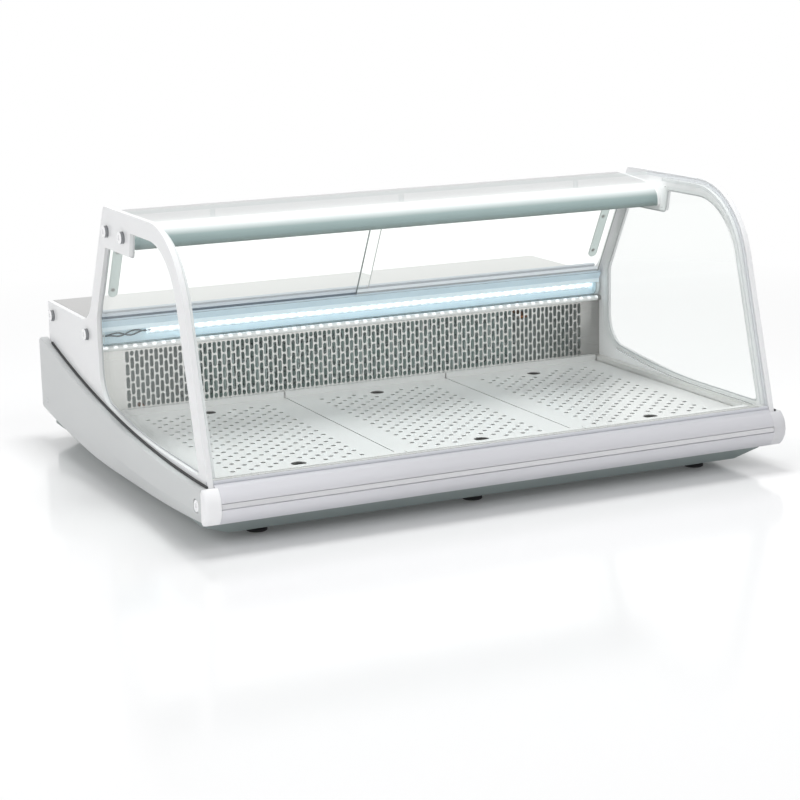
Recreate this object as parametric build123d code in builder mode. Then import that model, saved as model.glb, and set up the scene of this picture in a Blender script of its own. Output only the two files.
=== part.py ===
"""Counter-top refrigerated fish display case.

A dark base tub on levelling feet carries an insulated well, two side panels, a front bumper and
two white end frames.  Between the frames stand a curved front glass that tilts forward on a rail
at its foot, a canopy, a lamp, and two sloping rear doors that slide past each other.  Behind a
slotted grille lies the refrigeration housing, closed by a worktop and a rear cover.

Frame: +X to the customer's right, +Y to the server's side, +Z up, origin on the counter under the
middle of the case.  All sizes are in millimetres and degrees.
"""
import os
from math import cos, radians, sin, tan

from build123d import *

os.makedirs("parts", exist_ok=True)

# Overall size
overall_width = 1000.0
overall_depth = 850.0
overall_height = 455.0

# General clearances and sheet gauge
fit_gap = 0.3
hole_gap = 0.2
pin_gap = 0.05
sheet = 1.5

# Base tub and feet
foot_height = 12.0
tub_top = 60.0
tub_wall = 5.0
tub_side_gap = 3.0
tub_slant_width = 42.0
tub_slant_height = 16.0
tub_front_slant = 19.0
foot_radius = 16.0
foot_pad_height = 6.0
foot_pad_chamfer = 2.0
foot_stud_radius = 5.0
foot_side_inset = 115.0
foot_front_inset = 52.0
foot_rear_inset = 52.0
foot_middle_shift = -24.0

# Front bumper, its insert strip and its end caps
bumper_bulge = 13.0
bumper_back = 34.0
bumper_bottom = 42.0
bumper_top = 96.0
bumper_wall = 4.0
bumper_cap_length = 26.0
cap_round = 8.0
cap_spigot = 30.0
insert_bottom = 66.0
insert_height = 9.0
insert_depth = 2.5
insert_recess = 0.3

# Side panels
panel_front = 4.5
panel_skin = 3.0
panel_rim = 6.0
panel_overhang = 25.0
panel_front_top = 96.0
panel_rear_top = 187.0
panel_top_sag = 28.0
panel_front_bottom = 42.0
panel_rear_bottom = 56.0
panel_bottom_sag = 22.0
panel_rear_round = 20.0
panel_foot_round = 8.0
panel_edge_round = 2.5
panel_boss_radius = 12.0
panel_bolt_back = 26.0
panel_bolt_height = 67.0
panel_screw_back = 33.0
panel_screw_height = 74.0
seal_height = 3.0
seal_width = 3.0

# End frames
frame_inset = 13.0
frame_thickness = 9.0
frame_setback = 6.0
front_lean = 16.0
front_radius = 150.0
band_width = 33.0
arm_depth = 29.0
frame_top_round = 12.0
frame_rear_round = 5.0
post_front_gap = 26.0
post_rear_gap = 12.0
post_fillet = 65.0
window_front_bottom = 106.0
window_rear_bottom = 132.0
window_foot_round = 55.0
window_small_round = 6.0
window_block_round = 2.0
window_plate_round = 28.0
window_plate_back = 47.0
window_bend_back = 233.0
window_bend_round = 1900.0
block_drop = 38.0
block_length = 124.0
block_slope = 8.0

# Glass
pane_thickness = 5.0
pane_lap = 6.0
glass_thickness = 6.0
glass_inset = 3.0
glass_top_lap = 45.0
glass_side_gap = 0.5
glass_seal_width = 7.0
glass_seal_thickness = 5.0
buffer_radius = 4.0
buffer_setback = 6.0
buffer_spacing = 330.0
clamp_radius = 4.5
clamp_lift = 0.4
trunnion_radius = 3.0
trunnion_end_gap = 1.0
glass_seal_end = 12.0

# Rear doors and their tracks
door_lean = 29.0
track_mouth_height = 262.0
track_width = 30.0
lower_track_height = 14.0
upper_track_height = 16.0
door_pitch = 14.0
door_thickness = 5.0
groove_gap = 0.5
lower_groove_depth = 10.0
upper_groove_depth = 13.0
door_top_grip = 9.0
door_overlap = 28.0
door_end_gap = 3.0
upper_track_rise = 152.0
handle_width = 16.0
handle_length = 112.0
handle_thickness = 4.0
handle_inset = 12.0
handle_rise = 30.0

# Canopy
canopy_drop = 12.0
canopy_slope = 12.0
canopy_depth = 140.0
canopy_height = 47.0
canopy_nose_radius = 30.0
canopy_chin = 4.0
canopy_chin_round = 3.0
canopy_wall = 3.0
canopy_cap_gap = 2.0

# Lamp under the lower track
rail_bottom = 210.0
rail_back_depth = 12.0
rail_hood = 7.0
lamp_bulge = 6.0
lamp_sag = 3.0
cover_wall = 1.6
lamp_cap_length = 6.0
led_board_width = 12.0
led_board_thickness = 1.2
led_board_bottom = 223.0
led_pitch = 1000.0 / 60.0
led_length = 5.0
led_height = 5.0
led_depth = 1.5
led_start_inset = 88.0
led_end_inset = 16.0

# Slotted grille
grille_setback = 17.0
lip_radius = 4.5
slot_width = 6.3
slot_length = 19.5
slot_pitch_x = 8.45
slot_bridge = 2.5
grille_margin = 41.0
slot_shift = 4.0
slot_field_top = 197.5
slot_field_bottom = 100.5

# Cold well
liner_floor = 40.0
liner_rim = 97.5
liner_side = 12.0
liner_front = 16.0
liner_rear_gap = 8.0
rim_front = 2.0
rim_rear_lap = 5.0
foam_floor_inset = 6.0
foam_front_gap = 12.5
deck_count = 3
deck_gap = 2.0
deck_sheet = 1.2
deck_side_gap = 1.5
finger_hole_radius = 12.0
finger_hole_inset = 45.0
deck_drop = 10.0
deck_flange = 11.0
deck_hole_radius = 4.0
deck_hole_pitch = 30.0
deck_hole_margin = 24.0
finger_hole_clear = 8.0
drain_radius = 10.0
drain_wall = 2.0
drain_flange_radius = 18.0
drain_x = 200.0
drain_setback = 50.0
drain_tip = 5.0

# Refrigeration housing
machine_depth = 247.0
worktop_top = 250.0
worktop_fold = 38.0
worktop_sheet = 2.0
cover_inset = 2.0
cover_top_drop = 3.0
vent_length = 60.0
vent_width = 5.0
vent_pitch = 12.0
vent_rows = 9
vent_rise = 20.0
vent_columns = 3
vent_gap = 72.0
base_plate = 2.0
partition_back = 107.0
partition_thickness = 20.0

# Evaporator and condenser coils
tube_radius = 4.75
tube_pitch = 24.0
tube_rows = 5
coil_rise = 18.0
fin_thickness = 0.8
fin_pitch = 15.0
fin_depth = 34.0
coil_overrun = 14.0
coil_stub = 20.0
coil_bend = 10.8
evaporator_back = 42.0
evaporator_half = 310.0
condenser_x = -225.0
condenser_half = 108.0
condenser_back_gap = 24.0

# Fans and motors
fan_radius = 55.0
fan_hub_radius = 17.0
fan_hub_depth = 16.0
blade_count = 5
blade_chord = 20.0
blade_thickness = 1.6
blade_root = 2.0
blade_pitch_angle = 32.0
fan_shaft_radius = 3.0
motor_radius = 22.0
motor_depth = 20.0
fan_rise = 66.0
fan_end_gap = 4.0
evaporator_fan_x = 160.0
shroud_gap = 4.0
shroud_hole_gap = 4.0
stand_width = 40.0

# Compressor, pipes and drier
compressor_x = 230.0
compressor_radius = 58.0
compressor_height = 130.0
compressor_round = 26.0
compressor_wall_gap = 6.0
mount_height = 8.0
mount_radius = 9.0
mount_plate = 4.0
mount_spread = 88.0
mount_plate_size = 110.0
pipe_radius = 4.0
pipe_bend = 14.0
pipe_side_run = 22.0
pipe_middle_x = -70.0
drier_radius = 11.0
drier_length = 60.0
drier_round = 5.0
drier_setback = 34.0

# Controls on the rear cover
controller_x = 0.0
control_height = 190.0
bezel_width = 78.0
bezel_height = 36.0
bezel_depth = 6.0
bezel_round = 3.0
controller_width = 70.0
controller_body_height = 28.0
controller_body_depth = 48.0
display_width = 34.0
display_height = 17.0
display_depth = 1.5
button_width = 8.0
button_height = 6.0
button_depth = 5.0
button_proud = 1.2
button_travel = 1.0
button_spacing = 10.0
button_shift = 22.0
display_shift = -16.0
button_spare = 0.2
button_gap = 0.3
inlet_x = -430.0
inlet_z = 120.0
inlet_lip = 2.0
inlet_width = 30.0
inlet_height = 62.0
inlet_flange = 3.0
inlet_round = 3.0
inlet_body_depth = 28.0
socket_width = 24.0
socket_height = 18.0
socket_depth = 20.0
socket_drop = 14.0
inlet_pin_radius = 1.6
inlet_pin_spacing = 7.0
inlet_pin_length = 15.0
rocker_radius = 9.0
rocker_width = 17.0
rocker_rise = 15.0
rocker_face_angle = 7.0
rocker_pivot_depth = 5.0
rocker_pivot_radius = 1.5
rocker_pivot_length = 2.5
driver_length = 120.0
driver_depth = 28.0
driver_height = 40.0
driver_bottom = 195.0

# Fasteners
bolt_head_radius = 9.5
bolt_head_height = 7.0
bolt_socket_radius = 4.8
bolt_socket_depth = 4.0
bolt_radius = 4.0
bolt_reach = 5.5
top_bolt_drop = 39.0
front_top_bolt = 26.0
rear_top_bolt = 108.0
low_bolt_drop = 22.0
low_bolt_rear = 33.0
low_bolt_front = 9.0
screw_head_radius = 4.0
screw_head_height = 2.2
screw_radius = 1.75
screw_reach = 8.0
cover_screw_count = 4
cover_screw_spacing = 280.0
cover_screw_inset = 9.0

# Positions worked out from the sizes above
half_width = overall_width / 2
front_y = -overall_depth / 2
rear_y = overall_depth / 2
face_y = front_y + bumper_bulge
frame_out = half_width - frame_inset
frame_in = frame_out - frame_thickness
frame_rear_y = rear_y - panel_overhang
pane_out = frame_in - fit_gap
pane_in = pane_out - pane_thickness
inner_half = pane_in - fit_gap
between_frames = frame_in - fit_gap
worktop_front_y = frame_rear_y - machine_depth
grille_y = worktop_front_y - grille_setback
cover_y = frame_rear_y - cover_inset
cover_in_y = cover_y - sheet
tub_half = frame_out - tub_side_gap
tub_floor_half = tub_half - tub_slant_width
tub_front_y = face_y + bumper_back
tub_floor = foot_height + tub_wall
base_top = tub_top + base_plate
foot_y = face_y + frame_setback
lean = radians(front_lean)
slope = radians(door_lean)
mouth_y = worktop_front_y - track_width / 2 * cos(slope) - lower_track_height * sin(slope)


def front_edge(inset, height):
    """Depth of the line that runs inside the frames' front edge by inset, at a height."""
    return foot_y + (height - bumper_top) * tan(lean) + inset / cos(lean)


def door_line(height):
    """Depth of the plane midway between the two doors, at a height."""
    return mouth_y - (height - track_mouth_height) * tan(slope)


def door_point(across, along):
    """A point of the doors' section, as depth and height: across to the rear, along up the slope."""
    return (
        mouth_y + across * cos(slope) - along * sin(slope),
        track_mouth_height + across * sin(slope) + along * cos(slope),
    )


def span(low_x, high_x, low_y, high_y, mode=Mode.ADD):
    """A rectangle between two corners, in the sketch in hand."""
    with Locations(((low_x + high_x) / 2, (low_y + high_y) / 2)):
        Rectangle(high_x - low_x, high_y - low_y, mode=mode)


def save(builder, label):
    """Label a finished piece and write it."""
    builder.part.label = label
    export_step(builder.part, f"parts/{label}.step")


door_section = Plane(
    origin=(0, mouth_y, track_mouth_height),
    x_dir=(0, cos(slope), sin(slope)),
    z_dir=(1, 0, 0),
)

# Feet: a stud screwed into the tub's floor and a rubber pad below it
foot_x = half_width - foot_side_inset
foot_places = [
    (x, y)
    for y in (tub_front_y + foot_front_inset, frame_rear_y - foot_rear_inset)
    for x in (-foot_x, foot_middle_shift, foot_x)
]
with BuildPart() as foot_studs:
    with BuildSketch(Plane.XY.offset(foot_pad_height)):
        with Locations(*foot_places):
            Circle(foot_stud_radius)
    extrude(amount=tub_floor - foot_pad_height)
save(foot_studs, "foot_studs")

with BuildPart() as foot_pads:
    with BuildSketch():
        with Locations(*foot_places):
            Circle(foot_radius)
    extrude(amount=foot_pad_height)
    chamfer(foot_pads.edges().group_by(Axis.Z)[-1], foot_pad_chamfer)
save(foot_pads, "foot_pads")

# Base tub: an open tray with slanted sides and a slanted front
drain_place = (drain_x, grille_y - drain_setback)
with BuildPart() as base_tub:
    with BuildSketch(Plane.XZ.offset(-frame_rear_y)):
        with BuildLine():
            Polyline(
                (-tub_floor_half, foot_height),
                (tub_floor_half, foot_height),
                (tub_half, foot_height + tub_slant_height),
                (tub_half, tub_top),
                (-tub_half, tub_top),
                (-tub_half, foot_height + tub_slant_height),
                close=True,
            )
        make_face()
    extrude(amount=frame_rear_y - tub_front_y)
    with BuildSketch(Plane.YZ):
        with BuildLine():
            Polyline(
                (tub_front_y, bumper_bottom),
                (tub_front_y, foot_height),
                (tub_front_y + tub_front_slant, foot_height),
                close=True,
            )
        make_face()
    extrude(amount=overall_width, both=True, mode=Mode.SUBTRACT)
    offset(
        amount=-tub_wall,
        openings=base_tub.faces().sort_by(Axis.Z)[-1],
        kind=Kind.INTERSECTION,
    )
    with BuildSketch(Plane.XY.offset(foot_height)):
        with Locations(*foot_places):
            Circle(foot_stud_radius + hole_gap)
        with Locations(drain_place):
            Circle(drain_radius + hole_gap)
    extrude(amount=tub_wall, mode=Mode.SUBTRACT)
save(base_tub, "base_tub")

# Cold well: a sheet liner with a rim, set in foam
liner_half = frame_in - liner_side
liner_front_y = tub_front_y + liner_front
liner_rear_y = grille_y - liner_rear_gap
rim_front_y = tub_front_y + rim_front
rim_rear_y = grille_y + rim_rear_lap
rim_top = liner_rim + sheet
with BuildPart() as well_liner:
    with BuildSketch(Plane.XY.offset(liner_floor)):
        span(-liner_half, liner_half, liner_front_y, liner_rear_y)
    extrude(amount=liner_rim - liner_floor)
    offset(
        amount=-sheet,
        openings=well_liner.faces().sort_by(Axis.Z)[-1],
        kind=Kind.INTERSECTION,
    )
    with BuildSketch(Plane.XY.offset(liner_rim)):
        span(-between_frames, between_frames, rim_front_y, rim_rear_y)
        span(
            sheet - liner_half,
            liner_half - sheet,
            liner_front_y + sheet,
            liner_rear_y - sheet,
            mode=Mode.SUBTRACT,
        )
    extrude(amount=sheet)
    with BuildSketch(Plane.XY.offset(liner_floor)):
        with Locations(drain_place):
            Circle(drain_radius + hole_gap)
    extrude(amount=sheet, mode=Mode.SUBTRACT)
save(well_liner, "well_liner")

foam_slab_half = tub_floor_half - foam_floor_inset
foam_slab_front = tub_front_y + tub_front_slant + foam_floor_inset
with BuildPart() as foam_insulation:
    with BuildSketch(Plane.XY.offset(tub_floor)):
        span(-foam_slab_half, foam_slab_half, foam_slab_front, rim_rear_y)
    extrude(amount=liner_floor - tub_floor)
    with BuildSketch(Plane.XY.offset(liner_floor)):
        span(-between_frames, between_frames, tub_front_y + foam_front_gap, rim_rear_y)
        span(-liner_half, liner_half, liner_front_y, liner_rear_y, mode=Mode.SUBTRACT)
    extrude(amount=tub_top - liner_floor)
    with BuildSketch(Plane.XY.offset(tub_top)):
        span(-between_frames, between_frames, rim_front_y, rim_rear_y)
        span(-liner_half, liner_half, liner_front_y, liner_rear_y, mode=Mode.SUBTRACT)
    extrude(amount=liner_rim - tub_top)
    with BuildSketch(Plane.XY.offset(tub_floor)):
        with Locations(drain_place):
            Circle(drain_radius + hole_gap)
    extrude(amount=liner_floor - tub_floor, mode=Mode.SUBTRACT)
save(foam_insulation, "foam_insulation")

with BuildPart() as drain_fitting:
    with BuildSketch(Plane.XY.offset(drain_tip)):
        with Locations(drain_place):
            Circle(drain_radius)
    extrude(amount=liner_floor + sheet - drain_tip)
    with BuildSketch(Plane.XY.offset(liner_floor + sheet)):
        with Locations(drain_place):
            Circle(drain_flange_radius)
    extrude(amount=drain_wall)
    with BuildSketch(Plane.XY.offset(drain_tip)):
        with Locations(drain_place):
            Circle(drain_radius - drain_wall)
    extrude(amount=liner_floor, mode=Mode.SUBTRACT)
save(drain_fitting, "drain_fitting")

# Lift-out deck plates: folded sheets that hang by their front and rear flanges on the liner's rim
deck_half = liner_half - sheet - deck_side_gap
deck_width = (2 * deck_half - (deck_count - 1) * deck_gap) / deck_count
deck_front_y = liner_front_y + sheet + deck_side_gap
deck_rear_y = liner_rear_y - sheet - deck_side_gap
deck_top = rim_top + deck_sheet
deck_floor = deck_top - deck_drop
deck_mid_y = (deck_front_y + deck_rear_y) / 2
deck_centres = [
    (i - (deck_count - 1) / 2) * (deck_width + deck_gap) for i in range(deck_count)
]
hole_columns = int((deck_width - 2 * deck_hole_margin) / deck_hole_pitch)
hole_rows = int((deck_rear_y - deck_front_y - 2 * deck_hole_margin) / deck_hole_pitch)
finger_y = (deck_rear_y - deck_front_y) / 2 - finger_hole_inset
finger_clear = finger_hole_radius + finger_hole_clear
hole_places = [
    ((i - (columns - 1) / 2) * deck_hole_pitch, (j - (rows - 1) / 2) * deck_hole_pitch)
    for columns, rows in ((hole_columns, hole_rows), (hole_columns - 1, hole_rows - 1))
    for i in range(columns)
    for j in range(rows)
]
drain_holes = [
    (x, y) for x, y in hole_places if x**2 + (abs(y) - finger_y) ** 2 > finger_clear**2
]
with BuildPart() as deck_plates:
    with BuildSketch(*[Plane.YZ.offset(x) for x in deck_centres]):
        with BuildLine():
            Polyline(
                (deck_front_y - deck_flange, rim_top),
                (deck_front_y, rim_top),
                (deck_front_y, deck_floor - deck_sheet),
                (deck_rear_y, deck_floor - deck_sheet),
                (deck_rear_y, rim_top),
                (grille_y - fit_gap, rim_top),
                (grille_y - fit_gap, deck_top),
                (deck_rear_y - deck_sheet, deck_top),
                (deck_rear_y - deck_sheet, deck_floor),
                (deck_front_y + deck_sheet, deck_floor),
                (deck_front_y + deck_sheet, deck_top),
                (deck_front_y - deck_flange, deck_top),
                close=True,
            )
        make_face()
    extrude(amount=deck_width / 2, both=True)
    with BuildSketch(*[Plane((x, deck_mid_y, deck_floor)) for x in deck_centres]):
        with Locations(*drain_holes):
            Circle(deck_hole_radius)
        with Locations((0, finger_y), (0, -finger_y)):
            Circle(finger_hole_radius)
    extrude(amount=-deck_sheet, mode=Mode.SUBTRACT)
save(deck_plates, "deck_plates")

# Front bumper: a hollow bowed extrusion with an inlaid strip, and a cap on each end
bumper_half = half_width - bumper_cap_length
bumper_mid = (bumper_bottom + bumper_top) / 2


def bumper_bow(back_y, grow=0.0):
    """The bumper's bowed section in the line in hand, from its front back to a depth."""
    ThreePointArc(
        (face_y, bumper_top + grow), (front_y - grow, bumper_mid), (face_y, bumper_bottom - grow)
    )
    Polyline(
        (face_y, bumper_bottom - grow),
        (back_y, bumper_bottom - grow),
        (back_y, bumper_top + grow),
        (face_y, bumper_top + grow),
    )


with BuildPart() as front_bumper:
    with BuildSketch(Plane.YZ):
        with BuildLine():
            bumper_bow(tub_front_y)
        make_face()
        with BuildLine():
            bumper_bow(tub_front_y - bumper_wall, grow=-bumper_wall)
        make_face(mode=Mode.SUBTRACT)
    extrude(amount=bumper_half, both=True)
    with BuildSketch(Plane.YZ):
        span(
            front_y,
            front_y + insert_depth,
            insert_bottom,
            insert_bottom + insert_height,
        )
    extrude(amount=bumper_half, both=True, mode=Mode.SUBTRACT)
save(front_bumper, "front_bumper")

with BuildPart() as bumper_insert:
    with BuildSketch(Plane.YZ):
        with BuildLine():
            bumper_bow(tub_front_y, grow=-insert_recess)
        make_face()
        span(
            front_y,
            front_y + insert_depth,
            insert_bottom + hole_gap,
            insert_bottom + insert_height - hole_gap,
            mode=Mode.INTERSECT,
        )
    extrude(amount=bumper_half - fit_gap, both=True)
save(bumper_insert, "bumper_insert")

panel_front_y = face_y + panel_front
with BuildPart() as bumper_cap_right:
    with BuildSketch(Plane.YZ.offset(bumper_half)):
        with BuildLine():
            bumper_bow(panel_front_y - fit_gap)
        make_face()
    extrude(amount=bumper_cap_length)
    cap_end = bumper_cap_right.faces().sort_by(Axis.X)[-1]
    fillet(cap_end.edges().filter_by(GeomType.CIRCLE), cap_round)
    with BuildSketch(Plane.YZ.offset(bumper_half)):
        with BuildLine():
            bumper_bow(panel_front_y - fit_gap, grow=-bumper_wall - fit_gap)
        make_face()
    extrude(amount=-cap_spigot)
save(bumper_cap_right, "bumper_cap_right")

with BuildPart() as bumper_cap_left:
    mirror(bumper_cap_right.part, about=Plane.YZ)
save(bumper_cap_left, "bumper_cap_left")

# Side panels: moulded covers, hollow behind, bowed along the top and the bottom
panel_in = frame_out + fit_gap
panel_mid_y = (panel_front_y + rear_y) / 2
panel_mid_top = (panel_front_top + panel_rear_top) / 2 - panel_top_sag
panel_mid_bottom = (panel_front_bottom + panel_rear_bottom) / 2 - panel_bottom_sag
panel_bolt = (face_y + panel_bolt_back, panel_bolt_height)
panel_screw = (rear_y - panel_screw_back, panel_screw_height)
with BuildPart() as side_panel_right:
    with BuildSketch(Plane.YZ.offset(panel_in)) as panel_outline:
        with BuildLine():
            ThreePointArc(
                (panel_front_y, panel_front_top),
                (panel_mid_y, panel_mid_top),
                (rear_y, panel_rear_top),
            )
            Line((rear_y, panel_rear_top), (rear_y, panel_rear_bottom))
            ThreePointArc(
                (rear_y, panel_rear_bottom),
                (panel_mid_y, panel_mid_bottom),
                (panel_front_y, panel_front_bottom),
            )
            Line((panel_front_y, panel_front_bottom), (panel_front_y, panel_front_top))
        make_face()
        fillet(panel_outline.vertices().group_by(Axis.X)[-1].sort_by(Axis.Y)[-1], panel_rear_round)
        fillet(panel_outline.vertices().group_by(Axis.X)[-1].sort_by(Axis.Y)[0], panel_foot_round)
    extrude(amount=half_width - panel_in)
    fillet(side_panel_right.faces().sort_by(Axis.X)[-1].edges(), panel_edge_round)
    with BuildSketch(Plane.YZ.offset(panel_in)):
        add(panel_outline.sketch_local)
        offset(amount=-panel_rim)
    extrude(amount=half_width - panel_in - panel_skin, mode=Mode.SUBTRACT)
    with BuildSketch(Plane.YZ.offset(panel_in)):
        with Locations(panel_bolt, panel_screw):
            Circle(panel_boss_radius)
    extrude(amount=half_width - panel_in - panel_skin)
    with BuildSketch(Plane.YZ.offset(half_width)):
        with Locations(panel_bolt):
            Circle(bolt_head_radius + hole_gap)
    extrude(amount=-bolt_head_height, mode=Mode.SUBTRACT)
    with BuildSketch(Plane.YZ.offset(half_width)):
        with Locations(panel_screw):
            Circle(screw_head_radius + hole_gap)
    extrude(amount=-screw_head_height, mode=Mode.SUBTRACT)
    with BuildSketch(Plane.YZ.offset(panel_in)):
        with Locations(panel_bolt):
            Circle(bolt_radius + hole_gap)
        with Locations(panel_screw):
            Circle(screw_radius + hole_gap)
    extrude(amount=half_width - panel_in, mode=Mode.SUBTRACT)
save(side_panel_right, "side_panel_right")

with BuildPart() as side_panel_left:
    mirror(side_panel_right.part, about=Plane.YZ)
save(side_panel_left, "side_panel_left")

with BuildPart() as panel_seals:
    with BuildSketch(Plane.YZ.offset(frame_out)):
        with BuildLine():
            ThreePointArc(
                (panel_front_y, panel_front_top),
                (panel_mid_y, panel_mid_top),
                (rear_y, panel_rear_top),
            )
            Line((rear_y, panel_rear_top), (rear_y, panel_rear_top + seal_height))
            ThreePointArc(
                (rear_y, panel_rear_top + seal_height),
                (panel_mid_y, panel_mid_top + seal_height),
                (panel_front_y, panel_front_top + seal_height),
            )
            Line(
                (panel_front_y, panel_front_top + seal_height),
                (panel_front_y, panel_front_top),
            )
        make_face()
        span(foot_y, frame_rear_y - panel_rear_round, 0, overall_height, mode=Mode.INTERSECT)
    extrude(amount=seal_width)
    mirror(about=Plane.YZ)
save(panel_seals, "panel_seals")

# End frames: a plate with a window, cut back to the housing behind the doors
block_bottom = overall_height - arm_depth - block_drop
block_rear_y = door_line(block_bottom) - post_front_gap
block_front_y = block_rear_y - block_length
plate_front_y = worktop_front_y - window_plate_back
plate_front_top = track_mouth_height + (mouth_y - post_front_gap - plate_front_y) / tan(slope)
arm_bottom = overall_height - arm_depth
top_bolt_z = overall_height - top_bolt_drop
top_bolts = [
    (block_front_y + front_top_bolt, top_bolt_z),
    (block_front_y + rear_top_bolt, top_bolt_z),
]
low_bolt_z = worktop_top - low_bolt_drop
low_bolts = [
    (worktop_front_y + low_bolt_front, low_bolt_z),
    (frame_rear_y - low_bolt_rear, low_bolt_z),
]
hinge_z = bumper_top + clamp_lift + clamp_radius
hinge_y = front_edge(glass_inset + glass_thickness / 2, hinge_z)


def window_line():
    """The window's outline, in the line in hand."""
    FilletPolyline(
        (front_edge(band_width, window_front_bottom), window_front_bottom),
        (front_edge(band_width, arm_bottom), arm_bottom),
        (block_front_y - block_slope, arm_bottom),
        (block_front_y, block_bottom),
        (block_rear_y, block_bottom),
        (plate_front_y, plate_front_top),
        (plate_front_y, window_rear_bottom),
        (worktop_front_y - window_bend_back, window_front_bottom),
        radius=[
            window_small_round,
            front_radius - band_width,
            window_block_round,
            window_small_round,
            window_small_round,
            window_plate_round,
            window_foot_round,
            window_bend_round,
        ],
        close=True,
    )


with BuildPart() as end_frame_right:
    with BuildSketch(Plane.YZ.offset(frame_in)):
        with BuildLine():
            FilletPolyline(
                (foot_y, tub_top),
                (foot_y, bumper_top),
                (front_edge(0, overall_height), overall_height),
                (door_line(overall_height) + post_rear_gap, overall_height),
                (door_line(worktop_top) + post_rear_gap, worktop_top),
                (frame_rear_y, worktop_top),
                (frame_rear_y, tub_top),
                radius=[0, 0, front_radius, frame_top_round, post_fillet, frame_rear_round, 0],
                close=True,
            )
        make_face()
        with BuildLine():
            window_line()
        make_face(mode=Mode.SUBTRACT)
        with Locations(*top_bolts, *low_bolts, panel_bolt):
            Circle(bolt_radius + hole_gap, mode=Mode.SUBTRACT)
        with Locations(panel_screw):
            Circle(screw_radius + hole_gap, mode=Mode.SUBTRACT)
        with Locations((hinge_y, hinge_z)):
            Circle(trunnion_radius + pin_gap, mode=Mode.SUBTRACT)
    extrude(amount=frame_thickness)
save(end_frame_right, "end_frame_right")

with BuildPart() as end_frame_left:
    mirror(end_frame_right.part, about=Plane.YZ)
save(end_frame_left, "end_frame_left")

# Fixed side panes, lapped on the inside of the frames
with BuildPart() as side_glass_right:
    with BuildSketch(Plane.YZ.offset(pane_in)):
        with BuildLine():
            window_line()
        make_face()
        offset(amount=pane_lap)
    extrude(amount=pane_thickness)
save(side_glass_right, "side_glass_right")

with BuildPart() as side_glass_left:
    mirror(side_glass_right.part, about=Plane.YZ)
save(side_glass_left, "side_glass_left")

# Door tracks and the canopy above them
with BuildPart() as lower_door_track:
    with BuildSketch(door_section):
        span(-track_width / 2, track_width / 2, -lower_track_height, 0)
        for side in (-1, 1):
            groove = side * door_pitch / 2
            half_groove = door_thickness / 2 + groove_gap
            span(
                groove - half_groove,
                groove + half_groove,
                -lower_groove_depth,
                0,
                mode=Mode.SUBTRACT,
            )
    extrude(amount=inner_half, both=True)
save(lower_door_track, "lower_door_track")

upper_track_end = upper_track_rise + upper_track_height
with BuildPart() as upper_door_track:
    with BuildSketch(door_section):
        span(-track_width / 2, track_width / 2, upper_track_rise, upper_track_end)
        for side in (-1, 1):
            groove = side * door_pitch / 2
            half_groove = door_thickness / 2 + groove_gap
            span(
                groove - half_groove,
                groove + half_groove,
                upper_track_rise,
                upper_track_rise + upper_groove_depth,
                mode=Mode.SUBTRACT,
            )
    extrude(amount=inner_half, both=True)
save(upper_door_track, "upper_door_track")

track_top_rear = door_point(track_width / 2, upper_track_end)
track_top_front = door_point(-track_width / 2, upper_track_end)
canopy_top = overall_height - canopy_drop
canopy_rear_y = track_top_rear[0]
canopy_front_y = canopy_rear_y - canopy_depth
canopy_bottom = canopy_top - canopy_height
chin_rise = (canopy_bottom - track_mouth_height + track_width / 2 * sin(slope)) / cos(slope)
track_front_chin = door_point(-track_width / 2, chin_rise)


def canopy_line():
    """The canopy's outline, in the line in hand: it seats on the upper track's front and top."""
    FilletPolyline(
        (canopy_rear_y, canopy_top),
        (canopy_front_y, canopy_top - canopy_slope),
        (canopy_front_y + canopy_chin, canopy_bottom),
        track_front_chin,
        track_top_front,
        track_top_rear,
        radius=[0, canopy_nose_radius, canopy_chin_round, 0, 0, 0],
        close=True,
    )


with BuildPart() as canopy:
    with BuildSketch(Plane.YZ):
        with BuildLine():
            canopy_line()
        make_face()
        offset(amount=-canopy_wall, kind=Kind.INTERSECTION, mode=Mode.SUBTRACT)
    extrude(amount=inner_half, both=True)
save(canopy, "canopy")

cap_bottom = block_bottom + pane_lap + canopy_cap_gap
with BuildPart() as canopy_end_caps:
    with BuildSketch(Plane.YZ.offset(inner_half)):
        with BuildLine():
            canopy_line()
        make_face()
        span(canopy_front_y, canopy_rear_y, cap_bottom, overall_height, mode=Mode.INTERSECT)
        with Locations(*top_bolts):
            Circle(bolt_radius + hole_gap, mode=Mode.SUBTRACT)
    extrude(amount=frame_in - inner_half)
    mirror(about=Plane.YZ)
save(canopy_end_caps, "canopy_end_caps")

# Front glass: a bent pane held in a round rail that turns in the frames
glass_half = frame_in - glass_side_gap
glass_end_y = canopy_front_y + glass_top_lap


def glass_band(near, far, low_z, end_y):
    """A band between two insets from the frames' front edge, in the line in hand."""
    FilletPolyline(
        (front_edge(near, low_z), low_z),
        (front_edge(near, overall_height - near), overall_height - near),
        (end_y, overall_height - near),
        (end_y, overall_height - far),
        (front_edge(far, overall_height - far), overall_height - far),
        (front_edge(far, low_z), low_z),
        radius=[0, front_radius - near, 0, 0, front_radius - far, 0],
        close=True,
    )


glass_back = glass_inset + glass_thickness
with BuildPart() as front_glass:
    with BuildSketch(Plane.YZ):
        with BuildLine():
            glass_band(glass_inset, glass_back, hinge_z, glass_end_y)
        make_face()
    extrude(amount=glass_half, both=True)
save(front_glass, "front_glass")

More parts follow.
